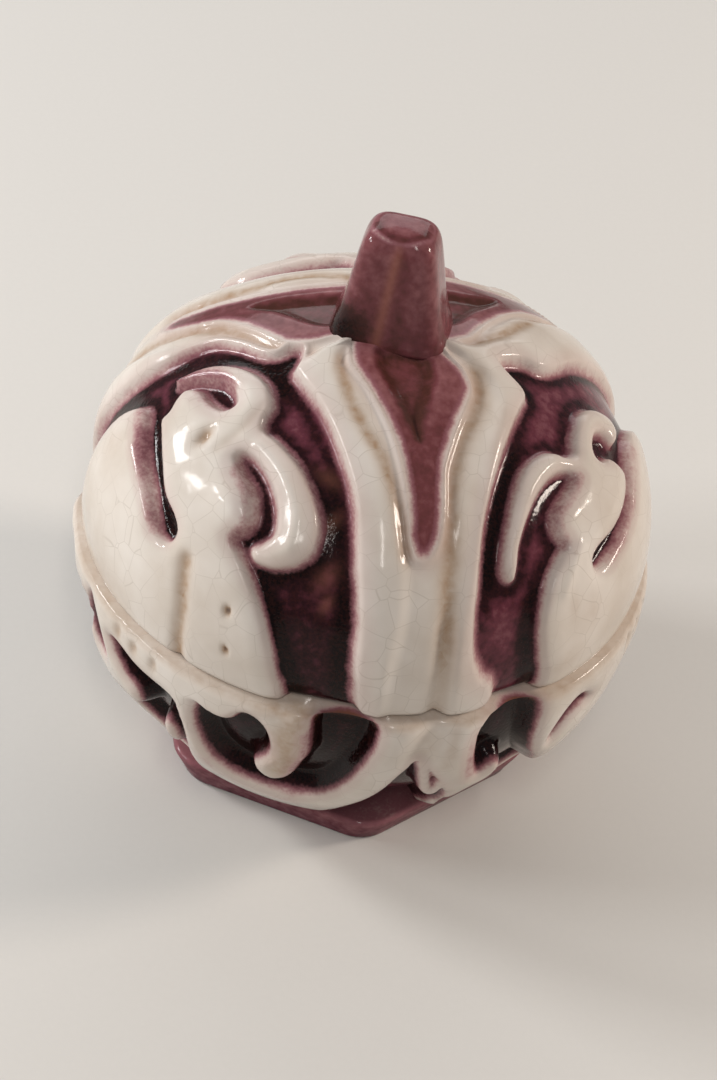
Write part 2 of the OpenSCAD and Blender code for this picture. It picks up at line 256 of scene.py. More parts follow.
# Outlines of the lid's relief in millimetres, on a plane square to the middle of a sector and through
# the lid's centre: x runs towards the front panel, y runs up the dome.
ARCH_LEFT = [(24.6, -30), (24.6, -14), (24.3, -11), (23.7, -8), (22.8, -5), (21.4, -2.2), (19.6, 0.5),
             (17.6, 3.1), (15, 5.7), (12, 7.8), (8, 9.8), (4, 11.1), (0.6, 11.7), (-0.9, 12), (-1.8, 13.2),
             (-3, 14.1), (-4.2, 13.4), (-4.9, 12), (-6.4, 11.1), (-9.5, 10.1), (-12.4, 8.6), (-14.3, 6.6),
             (-15.6, 4.2), (-17.4, 1), (-19.4, -2.4), (-21.4, -6), (-23, -10), (-24, -14), (-24, -30)]
ARCH_RIGHT = [(20, -30), (22.1, -15.2), (23.5, -12), (24, -8.4), (23, -4.6), (21.5, -1.8), (19.6, 0.8),
              (17, 3.3), (13.6, 5.4), (10, 6.9), (6, 8), (2.4, 8.6), (0.6, 8.7), (-0.3, 9.6), (-1, 11.4),
              (-1.9, 12.4), (-3.2, 11.9), (-4.7, 10.6), (-5.5, 8.9), (-7, 7.6), (-10, 6.1), (-13.4, 4.2),
              (-16.2, 1.8), (-19, -1.8), (-21.4, -6), (-23, -10), (-24, -14), (-24, -30)]
SCROLL_LEFT = [(18.8, -30), (18.5, -18), (17.8, -15.5), (16.3, -12.2), (14, -9.2), (11.2, -7), (9, -5.7),
               (8.6, -4.8), (9.3, -3.3), (8.6, -1.6), (6.6, 0.1), (4.2, 0.9), (2.6, 1.8), (3.4, 2.7),
               (5.4, 2.7), (8, 1.8), (10.4, 0.1), (11.8, -2), (11.5, -3.8), (10.8, -5), (11.8, -5.9),
               (14, -5.2), (15.6, -3.4), (15.9, -1), (14.6, 1.5), (12, 3.5), (8.8, 4.9), (5, 5.5),
               (2.7, 5.5), (1.6, 6.4), (0.9, 7.8), (-1, 8.9), (-3.4, 9.2), (-6.2, 8.6), (-8.8, 7.2),
               (-10.6, 5.3), (-11.9, 2.8), (-11, 2.7), (-9.6, 4.1), (-8, 5.4), (-6, 6.4), (-3.8, 6.4),
               (-2.5, 5.6), (-3.2, 4.3), (-5.4, 3.9), (-8, 4), (-9.5, 3), (-9.5, 1.6), (-9, 0.2),
               (-9, -1.2), (-7.2, -2.5), (-4.6, -4.4), (-1.8, -6.6), (0.8, -7.7), (2.2, -8.9), (1.8, -10.5),
               (0, -10.3), (-3.6, -7.8), (-7, -5.6), (-10.4, -3.2), (-12.6, -1.7), (-14.4, -2.6),
               (-16.4, -5), (-18, -9), (-18.8, -14), (-19, -30)]
SCROLL_RIGHT = [(15.6, -30), (16.9, -18), (17.6, -15), (17.8, -11.8), (17.1, -9.4), (15.2, -6.9),
                (12.8, -5.5), (11.3, -4.7), (11.5, -3), (10.6, -1.3), (8.6, -0.8), (6.2, -0.6), (4.7, 0),
                (5.4, 1.2), (7.6, 1.8), (10.4, 1.6), (13.4, 0.5), (15.8, -1), (17.4, -2.8), (18.4, -3.7),
                (18.9, -3), (18, -1.1), (16, 0.9), (13, 2.9), (10.4, 4.1), (8.2, 4.5), (5.8, 4.1),
                (4.3, 3.2), (3.6, 2.1), (2.3, 1.3), (0.8, 1.9), (-1.4, 2.6), (-3.6, 2.9), (-5.8, 2.3),
                (-7.4, 1), (-8.4, -0.9), (-7.8, -2.5), (-6.2, -2.9), (-5.2, -2.4), (-5, -0.9), (-3.6, 0.1),
                (-1.6, -0.1), (-0.5, -1), (-1.1, -2.1), (-2.4, -2.5), (-3.3, -3.9), (-3.7, -5.5),
                (-2.6, -6.8), (0, -7.9), (3.2, -8.4), (6.6, -8.2), (8.3, -8.4), (8.8, -9.3), (8, -10.3),
                (5.6, -10.1), (2.4, -9.7), (-0.8, -8.9), (-3, -7.7), (-5, -6.3), (-7.6, -5.3), (-10.4, -5),
                (-13.4, -5.6), (-16, -7.2), (-18, -10), (-19.2, -15), (-19.4, -30)]

# Soft forms on the scrolls: centre, radii, height in millimetres and strength of the tan stain
FORMS_LEFT = [((-1, -1.8), (6, 3.6), 0.1, 0), ((-2, 1), (0.75, 1.2), -0.7, 1.2),
              ((6, -2.4), (2.6, 1.7), 0.6, 0), ((11.8, -12.1), (0.38, 0.55), -0.6, 2),
              ((12.7, -16.2), (0.3, 0.45), -0.5, 2), ((-13.5, -6.5), (2.5, 2.5), 0, 0.3),
              ((-9, -20), (7, 1.6), 0, 0.35)]
FORMS_RIGHT = [((3, -4), (6, 3.2), 0.2, 0.12), ((8.8, -2.3), (2, 1.1), 0.2, 0),
               ((17.4, -7.5), (0.4, 0.4), 0.5, 0), ((11, -13.5), (1.8, 2.4), 0, 0.3),
               ((13.5, -11), (0.8, 1.6), 0, 0.28), ((14.5, -17), (2.6, 1.4), 0, 0.25)]
# Warm stains in the trough of the sectors on the left, in the same form
TROUGH_STAINS = [((15.2, 2.2), (0.7, 1.4), 0, 0.3), ((18.4, -2.9), (0.9, 1.8), 0, 0.25),
                 ((11.6, 6), (1.6, 0.8), 0, 0.2), ((19.8, -5.6), (0.5, 1.2), 0, 0.3)]
# Lines on the scrolls: points, width, height in millimetres and strength of the tan stain
LINES_LEFT = [([(5.2, -10.4), (6, -13), (6.8, -16), (6.8, -21)], 0.9, -0.5, 1),
              ([(-10, -5.4), (-6, -7.2), (-2, -9.8)], 0.7, 0.2, 0),
              ([(0.5, 7.5), (1, 4), (0.6, 1)], 0.6, -0.12, 0.25),
              ([(4, 4.2), (8, 3.4), (12, 1.2), (13.8, -2)], 0.7, 0.15, 0)]
LINES_RIGHT = [([(10, -5.6), (12, -6.8), (14.2, -8.6)], 0.6, 0.25, 0),
               ([(6, 2.9), (9, 3), (12, 2.2), (15, 0.4)], 0.6, 0.15, 0)]

# Lines along which purple has washed over the edge of the cream: points, width and strength of the wash
WASH_LEFT = [([(-12.8, -2.6), (-10.4, -3.9), (-7, -6.2), (-3.6, -8.4), (-0.8, -10.6)], 1.5, 0.88),
             ([(8.5, -5.2), (8.6, -3.3), (7.8, -1.8), (6.1, -0.4), (3.8, 0.5)], 1.3, 0.85),
             ([(-11.6, 3), (-10.2, 4.6), (-8.2, 6), (-6, 6.9), (-4.4, 6.8)], 1.1, 0.92),
             ([(-3, 4.1), (-5.4, 3.5), (-7.6, 3.5)], 1, 0.65)]
WASH_RIGHT = [([(6, -11), (2.4, -10.6), (-0.8, -9.8), (-3.4, -8.6), (-6, -7.1), (-9, -6.1)], 1.7, 0.8),
              ([(10.8, -4.6), (10.9, -3), (10.2, -1.8), (8.4, -1.4), (6, -1.2), (4.2, -0.6)], 1.3, 0.82),
              ([(-2.4, -3.2), (-4.6, -3.2), (-6.6, -3.6)], 1, 0.6)]
# Depth into the cream that a full wash leaves, at which it is pink
WASHED = -0.35
# Where black glaze has pooled under the peak of an arch: place and radius
PEAK_LEFT = ((-2.6, 12), 2.6)
PEAK_RIGHT = ((-1.2, 10), 2.6)
# All that a left and a right sector have of their own; across a right one, x runs the other way. The pool is
# thicker on the low levels, and beside the scroll and the band: there by an amount, what that gains low down,
# the distance from the wall, the width, and what that gains low down. On a right sector the dark band beside
# the scroll, wider low down, is partly pooled purple and partly painted shade on the scroll's shadowed side
LEFT = {"across": 1, "arch": ARCH_LEFT, "scroll": SCROLL_LEFT, "forms": FORMS_LEFT, "lines": LINES_LEFT,
        "wash": WASH_LEFT, "peak": PEAK_LEFT, "stains": TROUGH_STAINS, "crispness": 1.35,
        "pool": 0.38, "low_pool": 0.34, "low_levels": (2, -10),
        "by_scroll": (0.45, 0, 0.9, 1, 0), "by_band": (0.45, 0, 1.3, 0.8, 0)}
RIGHT = {"across": -1, "arch": ARCH_RIGHT, "scroll": SCROLL_RIGHT, "forms": FORMS_RIGHT, "lines": LINES_RIGHT,
         "wash": WASH_RIGHT, "peak": PEAK_RIGHT, "stains": [], "crispness": 1.8,
         "pool": 0.3, "low_pool": 0, "low_levels": (-2, -8),
         "by_scroll": (0.4, 0.2, 1.1, 1, 0.3), "by_band": (0.5, -0.3, 1.1, 0.8, 0)}

# Outlines about a panel of the lid in millimetres, seen from above: x to the right, y outwards
SPEAR = [(-5.8, -2), (-5, 2), (-5.3, 5.4), (-5.2, 6.6), (-4.1, 9.3), (-3.4, 11.2), (-2.1, 15.1),
         (-1.2, 19.2), (-0.8, 23.6), (-0.8, 25.6), (-0.1, 26.7), (1, 26.3), (1.9, 24.8), (2.4, 22.2),
         (2.6, 19.3), (3.3, 17.4), (4.9, 13.8), (6.2, 11.2), (6.8, 9.4), (6.2, 7.2), (4.8, 5.2), (4.4, 3),
         (5.6, -1)]
LOZENGE = [(-2.4, 4), (0.2, 4.2), (2.6, 4.8), (3.7, 6.8), (3.6, 9), (2.8, 11.2), (1.9, 13.4), (1, 16.6),
           (0, 16), (-1, 13.6), (-1.8, 11), (-2.7, 8.6), (-3.2, 6.6), (-3, 4.8)]
CHANNEL = [(-4.6, 36), (-3.7, 32.1), (-2.8, 30.4), (-2.7, 28.2), (-2.9, 25.2), (-3.2, 21.5), (-3.8, 18.4),
           (-4.6, 15.4), (-5.6, 12.4), (-6.8, 8.5), (-7.5, 5.5), (-7.4, 2), (7, 2), (10.8, 9), (10.6, 13),
           (9.6, 15.2), (8.8, 18), (8, 21.5), (7.1, 24.8), (6.3, 27.5), (5.4, 29.9), (4.6, 32), (4.4, 36)]

# Lines on a panel of the lid, placed as above: points, width, height and strength of the tan stain
PANEL_LINES = [([(8.3, 1), (8.5, 5), (7.9, 11.3), (5.2, 16.8), (3.7, 21.1), (3.4, 25), (3, 29), (3, 31.5)],
                1.1, -0.36, 1),
               ([(3, 31.5), (2.7, 36)], 1, -0.4, 0.4),
               ([(-7.2, 1), (-6.9, 5), (-6.3, 11), (-4.9, 15.3), (-3.5, 18.1), (-2.3, 22.9), (-1.6, 26.5)],
                0.8, -0.36, 1)]

# Outlines of the recesses in the box's side: degrees from the front panel, millimetres above the table
HOOK_RECESS = [(-5.6, 28.8), (-5.3, 26.2), (-6.1, 24.3), (-7.1, 22.3), (-8.4, 20.4), (-9.8, 18.4),
               (-11.8, 16.4), (-14.4, 14.6), (-18.1, 13.5), (-22.7, 13.1), (-27.3, 13.1), (-32.4, 13.6),
               (-36.4, 14.8), (-39.4, 16.5), (-41.4, 18.9), (-42.4, 21.3), (-42.6, 23.8), (-41.8, 25.3),
               (-39.4, 25), (-36.8, 24.8), (-34.3, 25.2), (-32.8, 26.4), (-31.3, 27), (-29.2, 26.8),
               (-27.2, 25.8), (-26, 24.3), (-25.5, 22.5), (-26, 21.1), (-27.6, 19.9), (-28.8, 18.7),
               (-28.4, 17.5), (-27, 16.8), (-24.7, 16.6), (-22.5, 17.3), (-21, 18.8), (-19.9, 20.8),
               (-18.6, 22.9), (-18.7, 25.2), (-18.9, 27.4), (-18.2, 29.1), (-12, 29.6)]
MIDDLE_RECESS = [(-46.4, 22.1), (-47.1, 23.3), (-49, 24), (-52.6, 24.2), (-57.7, 24.4), (-61.9, 25),
                 (-65, 25.1), (-66.6, 24.5), (-66, 23.4), (-64.3, 21.8), (-61.8, 20.3), (-59.5, 19.3),
                 (-58.4, 18.1), (-59.3, 16.8), (-61.6, 16.1), (-64.9, 16.2), (-67.8, 15.2), (-69.6, 13),
                 (-70, 10.8), (-68.6, 9), (-65, 7.6), (-60, 6.6), (-54, 6.8), (-50, 8.6), (-47.6, 11),
                 (-46.2, 14), (-45.4, 17), (-45.4, 19.4)]
FINGER_SLIT = [(-75.7, 27.2), (-73.9, 26.3), (-72.1, 24.8), (-70.6, 22.9), (-69.9, 21), (-70.7, 19.3),
               (-72.6, 18.2), (-75.2, 18), (-77.8, 18.8), (-79.6, 20.8), (-79, 23.6), (-77.6, 25.8)]
CLAW_RECESS = [(16.2, 28.6), (14.4, 26.8), (14.4, 24.3), (15.2, 21.5), (16.4, 19.4), (17.6, 18.5),
               (18.9, 19), (20.4, 19.8), (21.8, 19.6), (22.3, 18.4), (21.2, 16.7), (18.2, 15.3),
               (15.6, 13.2), (14.6, 11), (15.6, 8.8), (18.5, 7.2), (23, 6.3), (31, 6), (40.5, 6.2),
               (48.7, 7.4), (45.2, 9.5), (41.4, 11.1), (39.4, 12.4), (37.4, 13.8), (35.4, 15.4),
               (32.3, 17.8), (30.7, 19.8), (29.6, 21.8), (29.1, 24.3), (28.7, 27.2), (27.4, 29),
               (21.5, 29.5)]
LENS_SLIT = [(34.2, 20.3), (34.4, 22.3), (36.1, 24.5), (38.6, 25.7), (41.2, 25.5), (43.8, 24.3),
             (44.1, 23.3), (41.5, 22.7), (39, 21.6), (36.9, 20.1), (35.5, 19.3)]
SIDE_OVAL = [(53, 17), (54.5, 21), (58, 23.6), (62, 23.6), (65.5, 21), (67, 17), (65.5, 12.5), (62, 10),
             (58, 10), (54.5, 12.5)]
PANEL_GAP = [(2.7, 23.3), (1.3, 21.9), (-0.1, 20.4), (-1.5, 18.4), (-3.1, 16.4), (-5.2, 14.3), (-8.3, 11.7),
             (-11.6, 8), (-12.6, 3), (14, 3), (14.6, 8), (14.2, 11.5), (13, 14.2), (11.2, 15.9),
             (9.7, 17.8), (7.6, 19.8), (5.2, 21.9)]
# Turns of the panels with hooks beside them, sums of the azimuths of a recess and of its mirror image for the
# hooks and for the claws, and millimetres beside a recess within which its edge is looked for
LEFT_TURNS = (0, -120)
HOOK_MIRROR = -121.5
CLAW_MIRROR = 120
CUT_MARGIN = 6
# Soft forms on the box: centre in degrees and millimetres, radii in millimetres, height and stain
BOX_FORMS = [((-36.9, 26.8), (3.2, 1.8), 0.6, 0), ((-63, 27.4), (0.6, 1.2), -0.35, 0.8),
             ((-57.8, 27.2), (0.6, 1.1), -0.35, 0.9), ((-52.2, 27.1), (0.5, 1.1), -0.35, 0.8),
             ((-25.1, 19.8), (1.2, 3), 0.4, 0), ((-21.5, 29), (6.5, 1.2), 0, 0.9)]
# Lines on the box: points in degrees and millimetres, width, height and stain
BOX_LINES = [([(4.8, 33), (4.6, 28.2), (3.6, 24.3)], 1.7, -0.9, 0.3),
             ([(8.4, 30), (9.3, 26.2), (8.8, 22.3)], 0.8, -0.1, 0.35),
             ([(-24.2, 28.2), (-23.6, 25.2), (-22.6, 22.3)], 1, -0.15, 0.3),
             ([(-20.5, 29.6), (-22, 26), (-22.4, 22), (-23, 19.4)], 1.8, 0, 0.85)]
# Washes over the edges of the box's cream: points in degrees and millimetres, width and strength
BOX_WASH = [([(-41.5, 14.6), (-39, 13), (-36, 11.8), (-32, 11.2), (-27, 10.9), (-21, 11.4)], 2, 0.88),
            ([(-19.6, 26), (-19.4, 23.4), (-20.8, 20.6), (-22.4, 18)], 1, 0.85),
            ([(13.2, 27), (12.9, 24.3), (13.6, 21.3), (14.6, 18.4)], 1.2, 0.8)]
# Middle and half width of the curl on a panel, and the tip of the finger beside the hook with its radii
CURL_LINE = [(4.2, 22.7), (5.2, 20.4), (6.2, 18), (7.5, 16.1), (8.9, 15.7), (9.7, 16.7), (9.6, 18)]
CURL_HALF_WIDTH = 0.5
FINGER_TIP = ((-50.2, 15.7), (0.8, 2))

# Section of the knob in millimetres: half width and height above the crown
KNOB_SIDE = [(6.6, -1.6), (6.15, 0), (5.7, 1.4), (5.2, 3.6), (4.7, 6.6), (4.2, 9.3), (3.75, 10.6),
             (3.1, 11.4), (2.2, 11.85), (0.8, 12)]


def linear(code):
    """Linear colour with full alpha from an sRGB hex code"""
    parts = [int(code[i:i + 2], 16) / 255 for i in (1, 3, 5)]
    return [c / 12.92 if c <= 0.04045 else ((c + 0.055) / 1.055) ** 2.4 for c in parts] + [1]


def length(label, about, default):
    """A size that a user may set, in metres"""
    return FloatProperty(name=label, description=about, default=default, unit="LENGTH", min=0, precision=5)


def number(label, about, default):
    """A plain number that a user may set"""
    return FloatProperty(name=label, description=about, default=default)


def angle(label, about, degrees):
    """An angle that a user may set"""
    return FloatProperty(name=label, description=about, default=math.radians(degrees), subtype="ANGLE")


def power(label, about, default):
    """The power of a lamp that a user may set, in watts"""
    return FloatProperty(name=label, description=about, default=default, unit="POWER")


def colour(label, about, code):
    """A colour that a user may set"""
    return FloatVectorProperty(name=label, description=about, default=linear(code), subtype="COLOR", size=4,
                               min=0, max=1)


class LidSizes(bpy.types.PropertyGroup):
    """Sizes of the lid"""
    radius: length("Radius", "Radius of the lid at its widest, over the relief", RIM_RADIUS - 0.8 * MM)
    rise: length("Rise", "Rise from the widest level to the crown, over the relief", 26 * MM)
    side_radius: length("Side radius", "Radius of the rounded side in section", 22 * MM)
    drop: length("Drop", "Height of the widest level above the lower edge", 4 * MM)
    relief: length("Relief", "Depth of the relief", 1.8 * MM)
    wall: length("Wall", "Thickness of the wall under the relief", 2.8 * MM)


class BoxSizes(bpy.types.PropertyGroup):
    """Sizes of the box"""
    side_radius: length("Side radius", "Radius of the rounded side in section", 28.5 * MM)
    drop: length("Drop", "Depth of the widest level below the seam", 1.5 * MM)
    relief: length("Relief", "Depth of the recesses", 3 * MM)
    wall: length("Wall", "Thickness of the wall under the relief", 3 * MM)
    floor: length("Floor", "Thickness of the floor", 3.5 * MM)
    lip_radius: length("Lip radius", "Outer radius of the locating lip", 27 * MM)
    lip_wall: length("Lip wall", "Thickness of the locating lip", 1.8 * MM)
    lip_root: length("Lip root", "Depth to which the lip reaches below the seam", 4 * MM)


class KnobSizes(bpy.types.PropertyGroup):
    """Sizes of the knob"""
    turn: angle("Turn", "Turn of the square section from the front panel", -20)
    lean: length("Lean", "Sideways lean of the hand-made knob at its top", 0.5 * MM)
    depth: number("Depth", "Depth of the knob's base as a share of its width", 0.76)
    top_depth: number("Top depth", "The same share at its top", 0.86)
    set_back: length("Set back", "Distance of the knob behind the lid's axis", 0.4 * MM)
    squareness: number("Squareness", "Two gives a circle, more gives a square", 4.6)
    height: length("Height", "Height of the knob above the crown", 12 * MM)


class FootSizes(bpy.types.PropertyGroup):
    """Sizes of the foot"""
    under_radius: length("Radius below", "Radius to the corners on the table", 22.8 * MM)
    corner: length("Corner", "Width of the softened upright corners", 2.4 * MM)
    bevel: length("Bevel", "Width of the softened edges", 0.6 * MM)


class GlazeColours(bpy.types.PropertyGroup):
    """Colours of the glazes"""
    cream: colour("Cream", "Thick cream glaze", "#DDD5CC")
    cream_shade: colour("Cream shade", "Thinner and greyer cream glaze", "#CCC1B5")
    stain: colour("Stain", "Tan where the glaze pools in a channel", "#9C7B5B")
    scorch: colour("Scorch", "Brown of a pinhole", "#5E3E28")
    crackle: colour("Crackle", "Lines of the crackle", "#A79A8C")
    blush: colour("Blush", "Pink where cream thins over purple", "#BE9C98")
    rose: colour("Rose", "Thin purple over an edge", "#8E5D63")
    purple: colour("Purple", "Purple of a middling depth", "#60303B")
    deep: colour("Deep", "Purple that has pooled", "#2A1217")
    black: colour("Black", "Deepest pools", "#100607")
    rust: colour("Rust", "Red brown mottles in the purple", "#6A3329")
    ochre: colour("Ochre", "Warm streaks where the purple has run thin", "#9A6350")


class StageLook(bpy.types.PropertyGroup):
    """Floor, lights and camera"""
    floor: colour("Floor", "Colour of the floor", "#D2CFCA")
    key_power: power("Key", "Power of the main lamp", 1.3)
    side_power: power("Side", "Power of the lamp beside it", 0.8)
    fill_power: power("Fill", "Power of the lamp at the right", 1.4)
    front_power: power("Front", "Power of the strip lamp", 0.5)
    back_power: power("Back", "Power of the wide lamp behind", 0.7)
    ambient: number("Ambient", "Strength of the light all round", 0.26)
    azimuth: angle("Azimuth", "Direction of the camera", -14.2)
    elevation: angle("Elevation", "Height of the camera", 40.3)
    roll: angle("Roll", "Lean of the object in the picture", 8.5)
    distance: length("Distance", "Distance from the camera to the point it faces", 330 * MM)
    aim_left: length("Aim left", "How far left of the middle the camera faces", 0.97 * MM)
    aim_down: length("Aim down", "How far below the middle the camera faces", 4.58 * MM)
    lens: number("Lens", "Focal length in millimetres", 96)


class IncenseBoxSettings(bpy.types.PropertyGroup):
    """All settings of the incense box"""
    lid: PointerProperty(type=LidSizes)
    box: PointerProperty(type=BoxSizes)
    knob: PointerProperty(type=KnobSizes)
    foot: PointerProperty(type=FootSizes)
    glaze: PointerProperty(type=GlazeColours)
    stage: PointerProperty(type=StageLook)
    turns: IntProperty(name="Turns", description="Steps round the axis", default=560, min=60)


# Curves and distances, in millimetres

def smooth_curve(points, closed=True, steps=4):
    """Points along a smooth curve through the given ones"""
    knots = np.array(points, float)
    if closed:
        before, after, last = np.roll(knots, 1, 0), np.roll(knots, -1, 0), np.roll(knots, -2, 0)
    else:
        ends = np.vstack([2 * knots[0] - knots[1], knots, 2 * knots[-1] - knots[-2]])
        before, knots, after, last = ends[:-3], ends[1:-2], ends[2:-1], ends[3:]
    made = []
    for share in np.arange(steps) / steps:
        made.append(0.5 * (2 * knots + (after - before) * share
                           + (2 * before - 5 * knots + 4 * after - last) * share ** 2
                           + (3 * knots - before - 3 * after + last) * share ** 3))
    curve = np.stack(made, 1).reshape(-1, 2)
    return curve if closed else np.vstack([curve, points[-1]])


def line_distance(places, line):
    """Distance of each place from an open line"""
    x, y = np.ascontiguousarray(places.T)
    best = np.full(len(x), np.inf)
    for (x0, y0), (x1, y1) in zip(line[:-1], line[1:]):
        run = x1 - x0
        climb = y1 - y0
        share = np.clip(((x - x0) * run + (y - y0) * climb) / (run * run + climb * climb), 0, 1)
        best = np.minimum(best, (x - x0 - share * run) ** 2 + (y - y0 - share * climb) ** 2)
    return np.sqrt(best)


def depth_inside(places, outline):
    """Distance of each place from a closed outline, positive inside it"""
    inside = np.zeros(len(places), bool)
    across, up = np.ascontiguousarray(places.T)
    for (x0, y0), (x1, y1) in zip(outline, np.roll(outline, -1, 0)):
        if y0 != y1:
            inside ^= ((y0 > up) != (y1 > up)) & (across < x0 + (up - y0) * (x1 - x0) / (y1 - y0))
    gap = line_distance(places, np.vstack([outline, outline[:1]]))
    return np.where(inside, gap, -gap)


def ease(low, high, value):
    """Smooth step from nought to one between two values"""
    share = np.clip((value - low) / (high - low), 0, 1)
    return share * share * (3 - 2 * share)


def bell(distance, width):
    """Bell curve of a distance"""
    return np.exp(-(distance / width) ** 2)


def soft_details(places, forms, lines):
    """Height and stain that a set of soft forms and lines adds at each place"""
    height = np.zeros(len(places))
    stain = np.zeros(len(places))
    for centre, radii, rise, tan in forms:
        swell = bell(np.linalg.norm((places - centre) / radii, axis=1), 1)
        height += rise * swell
        stain = np.maximum(stain, tan * swell)
    for points, width, rise, tan in lines:
        swell = bell(line_distance(places, smooth_curve(points, closed=False)), width)
        height += rise * swell
        stain = np.maximum(stain, tan * swell)
    return np.array([height, stain])


def washed_edge(places, edge, lines):
    """Depth into the cream after purple has washed over its edge along a set of lines"""
    washed = np.zeros(len(places))
    for points, width, amount in lines:
        line = smooth_curve(points, closed=False)
        washed = np.maximum(washed, amount * bell(line_distance(places, line), width))
    return edge - washed * np.maximum(edge - WASHED, 0)


def rounded(depth, width):
    """Rounded shoulder from nought at an edge to one at a width in from it"""
    return 1 - (1 - np.clip(depth / width, 0, 1)) ** 2


def wall_rise(depth):
    """Share of the relief at a distance into a raised form: a hollow ground, a wall and a round shoulder"""
    hollow = HOLLOW_SHARE * (1 - rounded(-depth, HOLLOW_WIDTH))
    wall = WALL_SHARE * ease(*WALL_SPAN, depth)
    return hollow + wall + SHOULDER_SHARE * rounded(depth, SHOULDER_WIDTH)


def recess_pool(depth):
    """How far purple has pooled in a recess of the box at a distance into the cream: most by the wall"""
    by_wall = RECESS_WALL_POOL * bell(depth + RECESS_WALL_PLACE, RECESS_WALL_WIDTH)
    return RECESS_POOL + by_wall + RECESS_MIDDLE_POOL * ease(*RECESS_MIDDLE, -depth)


def sector_pool(side, chart, motif, band):
    """How far purple has pooled in a sector of the lid, most beside the walls and under the arch's peak;
    beside the scroll of a right sector it is partly painted shade
    """
    up = chart[:, 1]
    low = ease(*side["low_levels"], up)
    pool = side["pool"] + side["low_pool"] * low
    # Beside the scroll of a right sector the darker band, wider low down, is partly painted shade
    for wall, (amount, gain, away, width, spread) in ((motif, side["by_scroll"]), (band, side["by_band"])):
        pool += (amount + gain * low) * bell(wall + away, width + spread * low)
    place, radius = side["peak"]
    pool += PEAK_POOL * bell(np.linalg.norm(chart - place, axis=1), radius)
    return pool + UPPER_POOL * ease(*UPPER_LEVELS, up)


def turned_away(azimuth, middle):
    """Angle in degrees from a direction, between -180 and 180"""
    return (azimuth - middle + 180) % 360 - 180


# Relief of the lid and the box

def lid_relief(places, relief):
    """Height over the ground, depth into the cream, pooling and stain, for places from the lid's centre"""
    count = len(places)
    azimuth = np.degrees(np.arctan2(places[:, 0], -places[:, 1]))
    cream, edge, spear, lozenge = np.full((4, count), FAR_OUT)
    height, stain, channel, panel_swell, pool = np.zeros((5, count))
    for turn in PANELS:
        off = np.abs(turned_away(azimuth, turn))
        near = off <= HALF_SECTOR
        fade = ease(HALF_SECTOR, FADE_START, off[near])
        right = np.array([math.cos(math.radians(turn)), math.sin(math.radians(turn)), 0])
        outward = np.array([right[1], -right[0], 0])
        plan = np.stack([places[near] @ right, places[near] @ outward], 1)
        spear[near] = depth_inside(plan, smooth_curve(SPEAR))
        channel[near] = depth_inside(plan, smooth_curve(CHANNEL)) * fade
        lozenge[near] = depth_inside(plan, smooth_curve(LOZENGE))
        panel_swell[near], stain[near] = soft_details(plan, [], PANEL_LINES) * fade
    tilt = math.radians(SECTOR_TILT)
    for turn in SECTORS:
        near = np.abs(turned_away(azimuth, turn)) <= HALF_SECTOR
        middle = math.radians(turn)
        side = RIGHT if turn == RIGHT_SECTOR else LEFT
        along = side["across"] * np.array([math.cos(middle), math.sin(middle), 0])
        up = np.array([-math.sin(middle) * math.cos(tilt), math.cos(middle) * math.cos(tilt), math.sin(tilt)])
        chart = np.stack([places[near] @ along, places[near] @ up], 1)
        band = np.minimum(-depth_inside(chart, smooth_curve(side["arch"])), -spear[near])
        motif = depth_inside(chart, smooth_curve(side["scroll"]))
        cream[near] = np.maximum(band, motif)
        crisp = side["crispness"] + ease(*CRISP_LEVELS, chart[:, 1])
        edge[near] = washed_edge(chart, np.maximum(BAND_CRISPNESS * band, crisp * motif), side["wash"])
        pool[near] = sector_pool(side, chart, motif, band)
        swell, tan = soft_details(chart, side["forms"], side["lines"])
        on_motif = ease(*FORM_FADE, motif)
        height[near] = swell * on_motif
        run = soft_details(chart, side["stains"], [])[1] * ease(*TROUGH_FADE, cream[near])
        stain[near] = np.maximum(stain[near] * ease(*BAND_FADE, band), np.maximum(tan * on_motif, run))
    on_cream = ease(*PANEL_FADE, cream)
    in_channel = ease(*CHANNEL_SIDE, channel)
    crest = bell(spear + CREST_PLACE, CREST_WIDTH) * in_channel
    height += relief * wall_rise(cream) + on_cream * panel_swell
    height += CREST_HEIGHT * crest - CHANNEL_DEPTH * in_channel * on_cream
    point = ease(*SPEAR_SIDE, spear) * (SPEAR_HEIGHT - LOZENGE_DEPTH * ease(*LOZENGE_SIDE, lozenge))
    height = np.maximum(height, point)
    spear_pool = SPEAR_POOL + TIP_POOL * ease(*TIP_RADII, np.hypot(places[:, 0], places[:, 1]))
    # The lozenge darkens towards its sides and pales in its middle: partly pooled purple, partly painted
    # shade of the sunken form
    spear_pool += LOZENGE_POOL_AND_SHADE * ease(*LOZENGE_FADE, lozenge) + MIDDLE_POOL_AND_SHADE * ease(*MIDDLE_FADE, lozenge)
    pool += (spear_pool - pool) * ease(*SPEAR_FADE, spear)
    stain = np.maximum(stain, SPEAR_STAIN * ease(*FORM_FADE, spear))
    return height, edge, pool, stain


